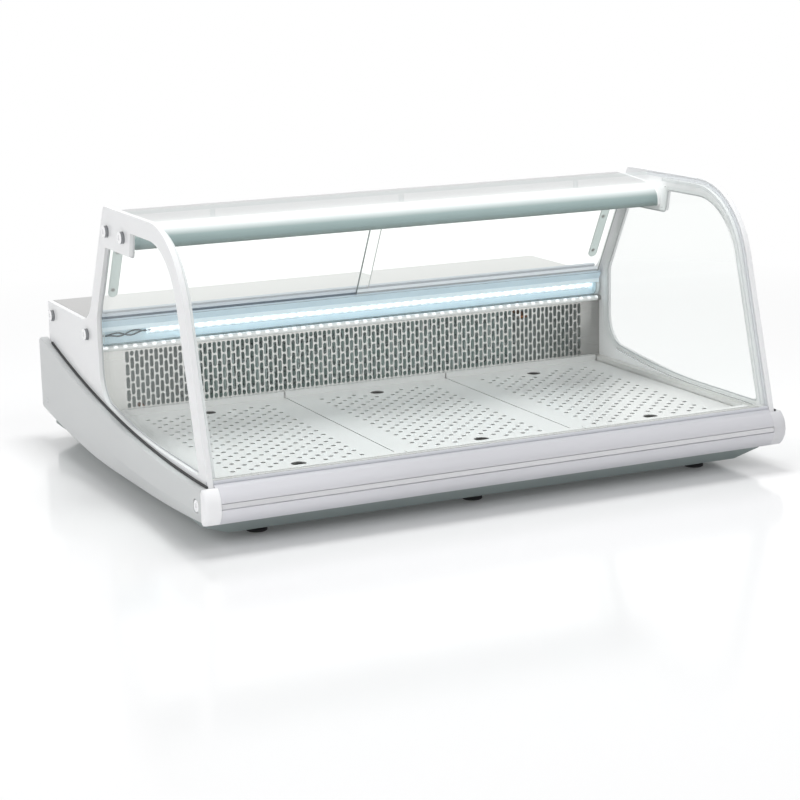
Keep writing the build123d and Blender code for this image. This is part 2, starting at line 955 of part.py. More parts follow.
with BuildPart() as glass_clamp:
    with BuildSketch(Plane.YZ):
        with Locations((hinge_y, hinge_z)):
            Circle(clamp_radius)
    extrude(amount=glass_half, both=True)
    with BuildSketch(Plane.YZ.offset(glass_half), Plane.YZ.offset(-glass_half)):
        with Locations((hinge_y, hinge_z)):
            Circle(trunnion_radius)
    extrude(amount=frame_out - glass_half - trunnion_end_gap, both=True)
    with BuildSketch(Plane.YZ):
        with BuildLine():
            glass_band(glass_inset - hole_gap, glass_back + hole_gap, hinge_z, glass_end_y)
        make_face()
    extrude(amount=glass_half, both=True, mode=Mode.SUBTRACT)
save(glass_clamp, "glass_clamp")

# Seals: a strip on each frame behind the front glass, and buffers on the canopy below its end
seal_near = glass_back + fit_gap
buffer_y = glass_end_y - buffer_setback
with BuildPart() as glass_seals:
    with BuildSketch(Plane.YZ.offset(frame_in - glass_seal_width)):
        with BuildLine():
            glass_band(
                seal_near,
                seal_near + glass_seal_thickness,
                window_front_bottom,
                canopy_front_y - glass_seal_end,
            )
        make_face()
    extrude(amount=glass_seal_width)
    mirror(about=Plane.YZ)
    with BuildSketch(Plane.XY.offset(canopy_bottom)):
        with Locations((-buffer_spacing, buffer_y), (0, buffer_y), (buffer_spacing, buffer_y)):
            Circle(buffer_radius)
    extrude(amount=overall_height - glass_back - fit_gap - canopy_bottom)
    with BuildSketch(Plane.YZ):
        with BuildLine():
            canopy_line()
        make_face()
    extrude(amount=inner_half, both=True, mode=Mode.SUBTRACT)
save(glass_seals, "glass_seals")

# Sliding doors and their pulls: the left one runs in the rear groove, the right one in front
door_run = inner_half - door_end_gap
door_width = door_run + door_overlap / 2
door_foot = fit_gap - lower_groove_depth
door_head = upper_track_rise + door_top_grip
with BuildPart() as door_left:
    with BuildSketch(door_section.offset(-door_run)):
        with Locations((door_pitch / 2, (door_foot + door_head) / 2)):
            Rectangle(door_thickness, door_head - door_foot)
    extrude(amount=door_width)
save(door_left, "door_left")

with BuildPart() as door_right:
    with BuildSketch(door_section.offset(door_run)):
        with Locations((-door_pitch / 2, (door_foot + door_head) / 2)):
            Rectangle(door_thickness, door_head - door_foot)
    extrude(amount=-door_width)
save(door_right, "door_right")

handle_x = door_run - handle_inset - handle_width / 2


def door_back(across):
    """The plane of a door's rear face, with its second axis up the slope."""
    return Plane(
        origin=(0, *door_point(across, 0)),
        x_dir=(-1, 0, 0),
        z_dir=(0, cos(slope), sin(slope)),
    )


with BuildPart() as door_handle_left:
    with BuildSketch(door_back(door_pitch / 2 + door_thickness / 2)):
        with Locations((handle_x, handle_rise + handle_length / 2)):
            SlotOverall(handle_length, handle_width, rotation=90)
    extrude(amount=handle_thickness)
save(door_handle_left, "door_handle_left")

with BuildPart() as door_handle_right:
    with BuildSketch(door_back(door_thickness / 2 - door_pitch / 2)):
        with Locations((-handle_x, handle_rise + handle_length / 2)):
            SlotOverall(handle_length, handle_width, rotation=90)
    extrude(amount=handle_thickness)
save(door_handle_right, "door_handle_right")

# Lamp: a rail under the lower track, a board with its diodes, and a bowed clear cover
hood_front = door_point(-track_width / 2, -lower_track_height)
hood_rear = door_point(track_width / 2, -lower_track_height)
hood_z = hood_front[1] - rail_hood
rail_face_y = worktop_front_y - rail_back_depth
lamp_half = inner_half - lamp_cap_length
with BuildPart() as lamp_rail:
    with BuildSketch(Plane.YZ):
        with BuildLine():
            Polyline(
                hood_front,
                hood_rear,
                (worktop_front_y, rail_bottom),
                (rail_face_y, rail_bottom),
                (rail_face_y, hood_z),
                (hood_front[0], hood_z),
                close=True,
            )
        make_face()
    extrude(amount=inner_half, both=True)
save(lamp_rail, "lamp_rail")

led_low_x = led_start_inset - inner_half
led_high_x = inner_half - led_end_inset
with BuildPart() as led_board:
    with BuildSketch(Plane.XZ.offset(-rail_face_y)):
        span(led_low_x, led_high_x, led_board_bottom, led_board_bottom + led_board_width)
    extrude(amount=led_board_thickness)
save(led_board, "led_board")

led_count = int((led_high_x - led_low_x - led_length) / led_pitch) + 1
led_centre = ((led_low_x + led_high_x) / 2, led_board_bottom + led_board_width / 2)
with BuildPart() as led_diodes:
    with BuildSketch(Plane.XZ.offset(led_board_thickness - rail_face_y)):
        with Locations(led_centre):
            with GridLocations(led_pitch, led_pitch, led_count, 1):
                Rectangle(led_length, led_height)
    extrude(amount=led_depth)
save(led_diodes, "led_diodes")

bow_y = (hood_front[0] + rail_face_y) / 2 - lamp_bulge
bow_z = (hood_z + rail_bottom) / 2 - lamp_sag
with BuildPart() as lamp_cover:
    with BuildSketch(Plane.YZ):
        with BuildLine():
            ThreePointArc((hood_front[0], hood_z), (bow_y, bow_z), (rail_face_y, rail_bottom))
            Line((rail_face_y, rail_bottom), (rail_face_y, rail_bottom + cover_wall))
            ThreePointArc(
                (rail_face_y, rail_bottom + cover_wall),
                (bow_y + cover_wall, bow_z + cover_wall / 2),
                (hood_front[0] + cover_wall, hood_z),
            )
            Line((hood_front[0] + cover_wall, hood_z), (hood_front[0], hood_z))
        make_face()
    extrude(amount=lamp_half, both=True)
save(lamp_cover, "lamp_cover")

with BuildPart() as lamp_end_caps:
    with BuildSketch(Plane.YZ.offset(lamp_half)):
        with BuildLine():
            ThreePointArc((hood_front[0], hood_z), (bow_y, bow_z), (rail_face_y, rail_bottom))
            Polyline(
                (rail_face_y, rail_bottom),
                (rail_face_y, hood_z),
                (hood_front[0], hood_z),
            )
        make_face()
    extrude(amount=lamp_cap_length)
    mirror(about=Plane.YZ)
save(lamp_end_caps, "lamp_end_caps")

# Grille: a slotted sheet with a rolled lip, its slots staggered from column to column
slot_field = slot_field_top - slot_field_bottom
half_slot = (slot_length - slot_bridge) / 2
slot_pitch_z = slot_length + slot_bridge
slot_rows = int((slot_field - half_slot) / slot_pitch_z)
slot_columns = int(2 * (between_frames - grille_margin) / slot_pitch_x)
slot_start_x = slot_shift - (slot_columns - 1) / 2 * slot_pitch_x
full_columns = [slot_start_x + i * slot_pitch_x for i in range(0, slot_columns, 2)]
offset_columns = [slot_start_x + i * slot_pitch_x for i in range(1, slot_columns, 2)]
full_top_z = slot_field_top - slot_length / 2
offset_top_z = full_top_z - half_slot - slot_bridge
foot_slot_z = slot_field_top - slot_rows * slot_pitch_z - half_slot / 2
full_slots = [
    (x, full_top_z - j * slot_pitch_z) for x in full_columns for j in range(slot_rows)
]
offset_slots = [
    (x, offset_top_z - j * slot_pitch_z) for x in offset_columns for j in range(slot_rows)
]
end_slots = [(x, foot_slot_z) for x in full_columns]
end_slots += [(x, slot_field_top - half_slot / 2) for x in offset_columns]
lip_z = rail_bottom - fit_gap - lip_radius
with BuildPart() as grille_panel:
    with BuildSketch(Plane.XZ.offset(-grille_y - sheet)):
        span(-between_frames, between_frames, rim_top, lip_z)
        with Locations(*full_slots, *offset_slots):
            SlotOverall(slot_length, slot_width, rotation=90, mode=Mode.SUBTRACT)
        with Locations(*end_slots):
            SlotOverall(half_slot, slot_width, rotation=90, mode=Mode.SUBTRACT)
    extrude(amount=sheet)
    with BuildSketch(Plane.YZ):
        with Locations((grille_y + sheet - lip_radius, lip_z)):
            Circle(lip_radius)
    extrude(amount=between_frames, both=True)
save(grille_panel, "grille_panel")

# Housing behind the grille: worktop, rear cover, base and the insulated partition
worktop_bottom = worktop_top - worktop_fold
cover_top = worktop_top - cover_top_drop
cover_screw_z = cover_top - cover_screw_inset
with BuildPart() as rear_worktop:
    with BuildSketch(Plane.XY.offset(worktop_bottom)):
        span(-between_frames, between_frames, worktop_front_y, cover_in_y)
    extrude(amount=worktop_fold)
    offset(
        amount=-worktop_sheet,
        openings=rear_worktop.faces().sort_by(Axis.Z)[0],
        kind=Kind.INTERSECTION,
    )
    with BuildSketch(Plane.YZ):
        with Locations(*low_bolts):
            Circle(bolt_radius + hole_gap)
    extrude(amount=half_width, both=True, mode=Mode.SUBTRACT)
    with BuildSketch(Plane.XZ.offset(-cover_in_y)):
        with Locations((0, cover_screw_z)):
            with GridLocations(cover_screw_spacing, worktop_fold, cover_screw_count, 1):
                Circle(screw_radius + hole_gap)
    extrude(amount=worktop_sheet, mode=Mode.SUBTRACT)
save(rear_worktop, "rear_worktop")

vent_mid_z = base_top + vent_rise + (vent_rows - 1) * vent_pitch / 2
with BuildPart() as rear_cover:
    with BuildSketch(Plane.XZ.offset(-cover_y)):
        span(-between_frames, between_frames, tub_top, cover_top)
        with Locations((condenser_x, vent_mid_z), (compressor_x, vent_mid_z)):
            with GridLocations(vent_gap, vent_pitch, vent_columns, vent_rows):
                SlotOverall(vent_length, vent_width, mode=Mode.SUBTRACT)
        with Locations((controller_x, control_height)):
            Rectangle(
                controller_width + 2 * fit_gap,
                controller_body_height + 2 * fit_gap,
                mode=Mode.SUBTRACT,
            )
        with Locations((inlet_x, inlet_z)):
            Rectangle(inlet_width + 2 * fit_gap, inlet_height + 2 * fit_gap, mode=Mode.SUBTRACT)
        with Locations((0, cover_screw_z)):
            with GridLocations(cover_screw_spacing, worktop_fold, cover_screw_count, 1):
                Circle(screw_radius + hole_gap, mode=Mode.SUBTRACT)
    extrude(amount=sheet)
save(rear_cover, "rear_cover")

base_half = tub_floor_half - tub_wall - foam_floor_inset
with BuildPart() as machine_base:
    with BuildSketch(Plane.XY.offset(tub_floor)):
        span(-base_half, base_half, rim_rear_y + fit_gap, frame_rear_y - tub_wall - fit_gap)
    extrude(amount=base_top - tub_floor)
    offset(
        amount=-base_plate,
        openings=machine_base.faces().sort_by(Axis.Z)[0],
        kind=Kind.INTERSECTION,
    )
save(machine_base, "machine_base")

# Centres of the coils, fans, compressor and pipes, which the partition's holes follow
coil_low = base_top + coil_rise
coil_high = coil_low + (tube_rows - 1) * tube_pitch
evaporator_y = grille_y + evaporator_back
condenser_y = cover_y - condenser_back_gap
partition_front_y = grille_y + partition_back
partition_rear_y = partition_front_y + partition_thickness
compressor_y = partition_rear_y + compressor_wall_gap + compressor_radius
suction_x = evaporator_half + coil_stub + pipe_side_run
liquid_x = condenser_x - condenser_half - coil_stub - pipe_side_run
fan_z = base_top + fan_rise
partition_half = between_frames - worktop_sheet - fit_gap
with BuildPart() as partition_wall:
    with BuildSketch(Plane.XZ.offset(-partition_rear_y)):
        span(-partition_half, partition_half, base_top, worktop_top - worktop_sheet)
        with Locations((suction_x, coil_high), (liquid_x, coil_low)):
            Circle(pipe_radius + hole_gap, mode=Mode.SUBTRACT)
    extrude(amount=partition_thickness)
save(partition_wall, "partition_wall")


def fin_stack(label, centre_x, centre_y, half):
    """Make and save a row of upright fins with tube holes, standing on the base."""
    count = int(2 * half / fin_pitch) + 1
    first = centre_x - (count - 1) * fin_pitch / 2 - fin_thickness / 2
    with BuildPart() as fins:
        with BuildSketch(*[Plane.YZ.offset(first + i * fin_pitch) for i in range(count)]):
            span(
                centre_y - fin_depth / 2,
                centre_y + fin_depth / 2,
                base_top,
                coil_high + coil_rise,
            )
            with Locations((centre_y, (coil_low + coil_high) / 2)):
                with GridLocations(fin_depth, tube_pitch, 1, tube_rows):
                    Circle(tube_radius + pin_gap, mode=Mode.SUBTRACT)
        extrude(amount=fin_thickness)
    save(fins, label)


def serpentine(label, centre_x, centre_y, half):
    """Make and save a tube that runs to and fro through the fins, low left to high right."""
    turns = []
    for row in range(tube_rows):
        side = 1 if row % 2 == 0 else -1
        height = coil_low + row * tube_pitch
        turns.append((centre_x - side * (half + coil_overrun), centre_y, height))
        turns.append((centre_x + side * (half + coil_overrun), centre_y, height))
    turns[0] = (centre_x - half - coil_stub, centre_y, coil_low)
    turns[-1] = (centre_x + half + coil_stub, centre_y, coil_high)
    with BuildPart() as coil:
        with BuildLine() as run:
            FilletPolyline(*turns, radius=coil_bend)
        with BuildSketch(run.line ^ 0):
            Circle(tube_radius)
        sweep(path=run.line)
    save(coil, label)


fin_stack("evaporator_fins", 0, evaporator_y, evaporator_half)
serpentine("evaporator_coil", 0, evaporator_y, evaporator_half)
fin_stack("condenser_fins", condenser_x, condenser_y, condenser_half)
serpentine("condenser_coil", condenser_x, condenser_y, condenser_half)

# Fans: each hub runs on its motor's shaft
shroud_rear_y = condenser_y - fin_depth / 2 - shroud_gap
shroud_front_y = shroud_rear_y - sheet
stand_rear_y = shroud_front_y - 2 * fan_end_gap - fan_hub_depth - motor_depth
evaporator_axles = [
    Plane(
        origin=(x, partition_front_y - motor_depth - fan_end_gap, fan_z),
        x_dir=(1, 0, 0),
        z_dir=(0, -1, 0),
    )
    for x in (-evaporator_fan_x, evaporator_fan_x)
]
condenser_axle = Plane(
    origin=(condenser_x, stand_rear_y + motor_depth + fan_end_gap, fan_z),
    x_dir=(-1, 0, 0),
    z_dir=(0, 1, 0),
)


def fan(label, axle):
    """Make and save a hub with pitched blades, standing on a plane square to its shaft."""
    pitch = radians(blade_pitch_angle)
    middle = axle.origin + axle.z_dir * (fan_hub_depth / 2)
    roots = []
    for i in range(blade_count):
        turn = radians(360 / blade_count) * i
        outward = axle.x_dir * cos(turn) + axle.y_dir * sin(turn)
        around = axle.y_dir * cos(turn) - axle.x_dir * sin(turn)
        roots.append(
            Plane(
                origin=middle + outward * (fan_hub_radius - blade_root),
                x_dir=around * cos(pitch) + axle.z_dir * sin(pitch),
                z_dir=outward,
            )
        )
    with BuildPart() as rotor:
        with BuildSketch(axle):
            Circle(fan_hub_radius)
        extrude(amount=fan_hub_depth)
        with BuildSketch(*roots):
            Rectangle(blade_chord, blade_thickness)
        extrude(amount=fan_radius - fan_hub_radius + blade_root)
        with BuildSketch(axle):
            Circle(fan_shaft_radius + pin_gap)
        extrude(amount=fan_hub_depth, mode=Mode.SUBTRACT)
    save(rotor, label)


fan("evaporator_fan_left", evaporator_axles[0])
fan("evaporator_fan_right", evaporator_axles[1])
fan("condenser_fan", condenser_axle)

with BuildPart() as fan_motors:
    with BuildSketch(*[axle.offset(-fan_end_gap) for axle in (*evaporator_axles, condenser_axle)]):
        Circle(motor_radius)
    extrude(amount=-motor_depth)
    with BuildSketch(*[axle.offset(-fan_end_gap) for axle in (*evaporator_axles, condenser_axle)]):
        Circle(fan_shaft_radius)
    extrude(amount=fan_end_gap + fan_hub_depth)
save(fan_motors, "fan_motors")

with BuildPart() as condenser_shroud:
    with BuildSketch(Plane.XZ.offset(-shroud_rear_y)):
        span(
            condenser_x - condenser_half,
            condenser_x + condenser_half,
            base_top,
            coil_high + coil_rise,
        )
        with Locations((condenser_x, fan_z)):
            Circle(fan_radius + shroud_hole_gap, mode=Mode.SUBTRACT)
    extrude(amount=sheet)
    with BuildSketch(Plane.XY.offset(base_top)):
        span(
            condenser_x - stand_width / 2,
            condenser_x + stand_width / 2,
            stand_rear_y - sheet,
            shroud_front_y,
        )
    extrude(amount=sheet)
    with BuildSketch(Plane.XZ.offset(-stand_rear_y)):
        span(
            condenser_x - stand_width / 2,
            condenser_x + stand_width / 2,
            base_top,
            fan_z + motor_radius,
        )
    extrude(amount=sheet)
save(condenser_shroud, "condenser_shroud")

# Compressor on its rubber mounts, the pipes between it and the coils, and the filter drier
body_bottom = base_top + mount_height + mount_plate
with BuildPart() as compressor:
    with BuildSketch(Plane.XY.offset(body_bottom)):
        with Locations((compressor_x, compressor_y)):
            Circle(compressor_radius)
    extrude(amount=compressor_height)
    fillet(compressor.edges().group_by(Axis.Z)[-1], compressor_round)
    with BuildSketch(Plane.XY.offset(base_top + mount_height)):
        with Locations((compressor_x, compressor_y)):
            Rectangle(mount_plate_size, mount_plate_size)
    extrude(amount=mount_plate)
    with BuildSketch(Plane.XY.offset(base_top)):
        with Locations((compressor_x, compressor_y)):
            with GridLocations(mount_spread, mount_spread, 2, 2):
                Circle(mount_radius)
    extrude(amount=mount_height)
save(compressor, "compressor")

drier_rear_y = condenser_y - drier_setback
drier_front_y = drier_rear_y - drier_length
body_side = compressor_radius + hole_gap
pipe_routes = [
    [
        (evaporator_half + coil_stub, evaporator_y, coil_high),
        (suction_x, evaporator_y, coil_high),
        (suction_x, compressor_y, coil_high),
        (compressor_x + body_side, compressor_y, coil_high),
    ],
    [
        (compressor_x - body_side, compressor_y, coil_high),
        (pipe_middle_x, compressor_y, coil_high),
        (pipe_middle_x, condenser_y, coil_high),
        (condenser_x + condenser_half + coil_stub, condenser_y, coil_high),
    ],
    [
        (condenser_x - condenser_half - coil_stub, condenser_y, coil_low),
        (liquid_x, condenser_y, coil_low),
        (liquid_x, drier_rear_y, coil_low),
    ],
    [
        (-evaporator_half - coil_stub, evaporator_y, coil_low),
        (liquid_x, evaporator_y, coil_low),
        (liquid_x, drier_front_y, coil_low),
    ],
]
with BuildPart() as refrigerant_pipes:
    for route in pipe_routes:
        with BuildLine() as pipe_line:
            FilletPolyline(*route, radius=pipe_bend)
        with BuildSketch(pipe_line.line ^ 0):
            Circle(pipe_radius)
        sweep(path=pipe_line.line)
save(refrigerant_pipes, "refrigerant_pipes")

with BuildPart() as filter_drier:
    with BuildSketch(Plane.XZ.offset(-drier_rear_y)):
        with Locations((liquid_x, coil_low)):
            Circle(drier_radius)
    extrude(amount=drier_length)
    fillet(filter_drier.edges().filter_by(GeomType.CIRCLE), drier_round)
save(filter_drier, "filter_drier")

with BuildPart() as led_driver:
    with BuildSketch(Plane.XZ.offset(-partition_rear_y - driver_depth)):
        span(
            -driver_length / 2,
            driver_length / 2,
            driver_bottom,
            driver_bottom + driver_height,
        )
    extrude(amount=driver_depth)
save(led_driver, "led_driver")

# Controller in the rear cover, with three keys
bezel_face_y = cover_y + bezel_depth
button_pocket = button_depth - button_proud + button_travel + button_spare
button_places = {
    "button_set": button_shift - button_spacing,
    "button_up": button_shift,
    "button_down": button_shift + button_spacing,
}
with BuildPart() as controller:
    with BuildSketch(Plane.XZ.offset(-bezel_face_y)):
        with Locations((controller_x, control_height)):
            RectangleRounded(bezel_width, bezel_height, bezel_round)
    extrude(amount=bezel_depth)
    with BuildSketch(Plane.XZ.offset(-cover_y)):
        with Locations((controller_x, control_height)):
            Rectangle(controller_width, controller_body_height)
    extrude(amount=controller_body_depth)
    with BuildSketch(Plane.XZ.offset(-bezel_face_y)):
        with Locations((controller_x + display_shift, control_height)):
            Rectangle(display_width, display_height)
    extrude(amount=display_depth, mode=Mode.SUBTRACT)
    with BuildSketch(Plane.XZ.offset(-bezel_face_y)):
        with Locations(*[(controller_x + x, control_height) for x in button_places.values()]):
            Rectangle(button_width + 2 * button_gap, button_height + 2 * button_gap)
    extrude(amount=button_pocket, mode=Mode.SUBTRACT)
save(controller, "controller")

for button_name, button_x in button_places.items():
    with BuildPart() as button:
        with BuildSketch(Plane.XZ.offset(-bezel_face_y - button_proud)):
            with Locations((controller_x + button_x, control_height)):
                Rectangle(button_width, button_height)
        extrude(amount=button_depth)
    save(button, button_name)

# Power inlet with its pins, and a rocker switch above the socket
flange_face_y = cover_y + inlet_flange
rocker_y = flange_face_y - rocker_pivot_depth
rocker_z = inlet_z + rocker_rise
rocker_room = rocker_width / 2 + button_gap
socket_z = inlet_z - socket_drop
with BuildPart() as power_inlet:
    with BuildSketch(Plane.XZ.offset(-flange_face_y)):
        with Locations((inlet_x, inlet_z)):
            RectangleRounded(
                inlet_width + 2 * inlet_lip, inlet_height + 2 * inlet_lip, inlet_round
            )
    extrude(amount=inlet_flange)
    with BuildSketch(Plane.XZ.offset(-cover_y)):
        with Locations((inlet_x, inlet_z)):
            Rectangle(inlet_width, inlet_height)
    extrude(amount=inlet_body_depth)
    with BuildSketch(Plane.XZ.offset(-flange_face_y)):
        with Locations((inlet_x, socket_z)):
            Rectangle(socket_width, socket_height)
    extrude(amount=socket_depth, mode=Mode.SUBTRACT)
    with BuildSketch(Plane.XZ.offset(socket_depth - flange_face_y)):
        with Locations((inlet_x, socket_z)):
            with GridLocations(inlet_pin_spacing, socket_height, 3, 1):
                Circle(inlet_pin_radius)
    extrude(amount=-inlet_pin_length)
    with BuildSketch(Plane.YZ.offset(inlet_x)):
        with Locations((rocker_y, rocker_z)):
            Circle(rocker_radius + button_gap)
    extrude(amount=rocker_room, both=True, mode=Mode.SUBTRACT)
    with BuildSketch(Plane.YZ.offset(inlet_x)):
        with Locations((rocker_y, rocker_z)):
            Circle(rocker_pivot_radius + pin_gap)
    extrude(amount=rocker_room + rocker_pivot_length, both=True, mode=Mode.SUBTRACT)
save(power_inlet, "power_inlet")

rocker_section = Plane(
    origin=(inlet_x, rocker_y, rocker_z),
    x_dir=(0, cos(radians(rocker_face_angle)), sin(radians(rocker_face_angle))),
    z_dir=(1, 0, 0),
)
with BuildPart() as switch_rocker:
    with BuildSketch(rocker_section):
        Circle(rocker_radius)
        span(
            -rocker_radius,
            rocker_pivot_depth,
            -rocker_radius,
            rocker_radius,
            mode=Mode.INTERSECT,
        )
    extrude(amount=rocker_width / 2, both=True)
    with BuildSketch(rocker_section):
        Circle(rocker_pivot_radius)
    extrude(amount=rocker_width / 2 + rocker_pivot_length, both=True)
save(switch_rocker, "switch_rocker")

# Fasteners
with BuildPart() as chrome_bolts:
    with BuildSketch(Plane.YZ.offset(frame_out)):
        with Locations(*top_bolts, *low_bolts):
            Circle(bolt_head_radius)
    extrude(amount=bolt_head_height)
    with BuildSketch(Plane.YZ.offset(frame_out)):
        with Locations(*top_bolts, *low_bolts):
            Circle(bolt_radius)
    extrude(amount=-frame_thickness - bolt_reach)
    with BuildSketch(Plane.YZ.offset(half_width - bolt_head_height)):
        with Locations(panel_bolt):
            Circle(bolt_head_radius)
    extrude(amount=bolt_head_height)
    with BuildSketch(Plane.YZ.offset(frame_in)):
        with Locations(panel_bolt):
            Circle(bolt_radius)
    extrude(amount=half_width - bolt_head_height - frame_in)
    with BuildSketch(Plane.YZ.offset(frame_out + bolt_head_height)):
        with Locations(*top_bolts, *low_bolts):
            RegularPolygon(bolt_socket_radius, 6)
    extrude(amount=-bolt_socket_depth, mode=Mode.SUBTRACT)
    with BuildSketch(Plane.YZ.offset(half_width)):
        with Locations(panel_bolt):
            RegularPolygon(bolt_socket_radius, 6)
    extrude(amount=-bolt_socket_depth, mode=Mode.SUBTRACT)
    mirror(about=Plane.YZ)
save(chrome_bolts, "chrome_bolts")

with BuildPart() as cover_screws:
    with BuildSketch(Plane.YZ.offset(half_width)):
        with Locations(panel_screw):
            Circle(screw_head_radius)
    extrude(amount=-screw_head_height)
    with BuildSketch(Plane.YZ.offset(half_width)):
        with Locations(panel_screw):
            Circle(screw_radius)
    extrude(amount=frame_in - half_width)
    mirror(about=Plane.YZ)
    with BuildSketch(Plane.XZ.offset(-cover_y)):
        with Locations((0, cover_screw_z)):
            with GridLocations(cover_screw_spacing, worktop_fold, cover_screw_count, 1):
                Circle(screw_head_radius)
    extrude(amount=-screw_head_height)
    with BuildSketch(Plane.XZ.offset(-cover_y)):
        with Locations((0, cover_screw_z)):
            with GridLocations(cover_screw_spacing, worktop_fold, cover_screw_count, 1):
                Circle(screw_radius)
    extrude(amount=screw_reach)
save(cover_screws, "cover_screws")

print("front glass hinge", hinge_y, hinge_z)
print("fans", [tuple(axle.origin) for axle in (*evaporator_axles, condenser_axle)])
print("buttons", button_places, bezel_face_y, control_height)
print("rocker", inlet_x, rocker_y, rocker_z)
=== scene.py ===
"""Dressing of the fish display case: finishes, rounded edges, fittings, lamp light and a plain stage.

Run as a script.  Every length is in metres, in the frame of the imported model: +X to the customer's
right, +Y to the server's side, +Z up, with the counter at zero height.
"""

import math

import bmesh
import bpy
import numpy as np
from mathutils import Matrix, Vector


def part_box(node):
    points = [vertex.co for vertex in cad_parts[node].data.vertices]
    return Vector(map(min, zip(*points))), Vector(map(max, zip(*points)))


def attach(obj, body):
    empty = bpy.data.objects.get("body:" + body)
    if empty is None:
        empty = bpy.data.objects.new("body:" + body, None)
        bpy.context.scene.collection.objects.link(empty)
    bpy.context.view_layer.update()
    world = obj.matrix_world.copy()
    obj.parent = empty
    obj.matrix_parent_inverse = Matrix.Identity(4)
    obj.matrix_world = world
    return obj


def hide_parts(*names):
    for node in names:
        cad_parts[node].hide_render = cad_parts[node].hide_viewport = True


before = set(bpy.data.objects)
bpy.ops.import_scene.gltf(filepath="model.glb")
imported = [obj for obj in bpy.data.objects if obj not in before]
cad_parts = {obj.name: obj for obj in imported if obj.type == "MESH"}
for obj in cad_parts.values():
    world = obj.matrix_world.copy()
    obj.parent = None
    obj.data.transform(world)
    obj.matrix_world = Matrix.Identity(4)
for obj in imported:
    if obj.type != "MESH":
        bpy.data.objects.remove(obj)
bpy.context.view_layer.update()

bl_info = {
    "name": "Fish display case",
    "version": (1, 0, 0),
    "blender": (4, 5, 0),
    "location": "View3D > Sidebar > Display case",
    "description": "Dresses the packed display case and sets its stage",
    "category": "Object",
}

SIDES = (("left", -1.0), ("right", 1.0))
# The end frames: their faces across X, and the leaning front edge with its bend
FRAME_OUT = 0.487
FRAME_IN = 0.478
FRONT_LEAN = math.radians(16.0)
FOOT_Y = -0.406
BUMPER_TOP = 0.096
CASE_TOP = 0.455
FRONT_BEND = 0.15
# The front glass: the axis it tilts on, and its rear end over the canopy
HINGE_Y = -0.39835
HINGE_Z = 0.1009
GLASS_END = -0.0302
# The doors' plane: its lean, and the mouth of the lower track that it rises from
DOOR_LEAN = math.radians(29.0)
TRACK_Y = 0.13309
TRACK_Z = 0.262
# The lamp's diodes: how close they stand, and the place of one of them
DIODES_PER_METRE = 60
DIODE_X = 0.036
BLACK = (0.0, 0.0, 0.0)

# How a grid of points closes: a section carried along a path, or a profile turned round an axis
CARRIED = {"wrap_columns": True, "fill_ends": True}
TURNED = {"wrap_columns": True}


class CaseSizes(bpy.types.PropertyGroup):
    """Sizes of the details that the solids leave plain."""

    plate_round: bpy.props.FloatProperty(
        name="Plate rounding", description="Radius of the rounded edges of the white end frames",
        default=0.0012, unit="LENGTH",
    )
    bolt_round: bpy.props.FloatProperty(
        name="Bolt rounding", description="Radius of the rim of a bolt's head",
        default=0.0014, unit="LENGTH",
    )
    strip_gap: bpy.props.FloatProperty(
        name="Strip gap",
        description="Mean width of the dark lines above and below the bumper's inlaid strip",
        default=0.0011, unit="LENGTH",
    )
    gasket_depth: bpy.props.FloatProperty(
        name="Gasket depth",
        description="How far the side panes' gasket stands into the frame's window",
        default=0.0022, unit="LENGTH",
    )
    lead_radius: bpy.props.FloatProperty(
        name="Lead radius", description="Radius of each of the lamp's two supply wires",
        default=0.0012, unit="LENGTH",
    )
    louvre_height: bpy.props.FloatProperty(
        name="Louvre height", description="How far a pressed louvre stands off the rear cover",
        default=0.0035, unit="LENGTH",
    )


class CaseColours(bpy.types.PropertyGroup):
    """Colours of the finishes, as linear values."""

    frame_white: bpy.props.FloatVectorProperty(
        name="Frame white", description="Powder coat of the end frames",
        subtype="COLOR", default=(0.90, 0.905, 0.91), min=0.0, max=1.0,
    )
    panel_silver: bpy.props.FloatVectorProperty(
        name="Panel silver", description="Moulded side panels",
        subtype="COLOR", default=(0.64, 0.655, 0.655), min=0.0, max=1.0,
    )
    bumper_lavender: bpy.props.FloatVectorProperty(
        name="Bumper", description="Anodised front bumper and its lip",
        subtype="COLOR", default=(0.62, 0.62, 0.65), min=0.0, max=1.0,
    )
    canopy_grey: bpy.props.FloatVectorProperty(
        name="Canopy", description="Flat top of the satin canopy over the doors",
        subtype="COLOR", default=(0.53, 0.531, 0.533), min=0.0, max=1.0,
    )
    base_grey: bpy.props.FloatVectorProperty(
        name="Base", description="Dark tub under the case",
        subtype="COLOR", default=(0.30, 0.35, 0.345), min=0.0, max=1.0,
    )
    steel: bpy.props.FloatVectorProperty(
        name="Steel", description="Stainless sheet of the well and the grille",
        subtype="COLOR", default=(0.80, 0.795, 0.775), min=0.0, max=1.0,
    )
    glass_tint: bpy.props.FloatVectorProperty(
        name="Glass", description="Tint of the front and side panes",
        subtype="COLOR", default=(0.985, 0.995, 0.99), min=0.0, max=1.0,
    )
    lamp_tint: bpy.props.FloatVectorProperty(
        name="Lamp cover", description="Tint of the lamp's clear cover",
        subtype="COLOR", default=(0.93, 0.98, 1.0), min=0.0, max=1.0,
    )
    lamp_white: bpy.props.FloatVectorProperty(
        name="Lamp light", description="Light of the diodes",
        subtype="COLOR", default=(0.93, 0.97, 1.0), min=0.0, max=1.0,
    )


def sizes():
    """The case's sizes, as set in the scene."""
    return bpy.context.scene.case_sizes


def colours():
    """The case's colours, as set in the scene."""
    return bpy.context.scene.case_colours


def feed(tree, node, inputs):
    """Give a node's inputs plain values, colours as three numbers, or links from other sockets."""
    for key, value in inputs.items():
        socket = node.inputs[key]
        if isinstance(value, bpy.types.NodeSocket):
            tree.links.new(value, socket)
        elif socket.type == "RGBA":
            socket.default_value = (*value, 1.0)
        else:
            socket.default_value = value


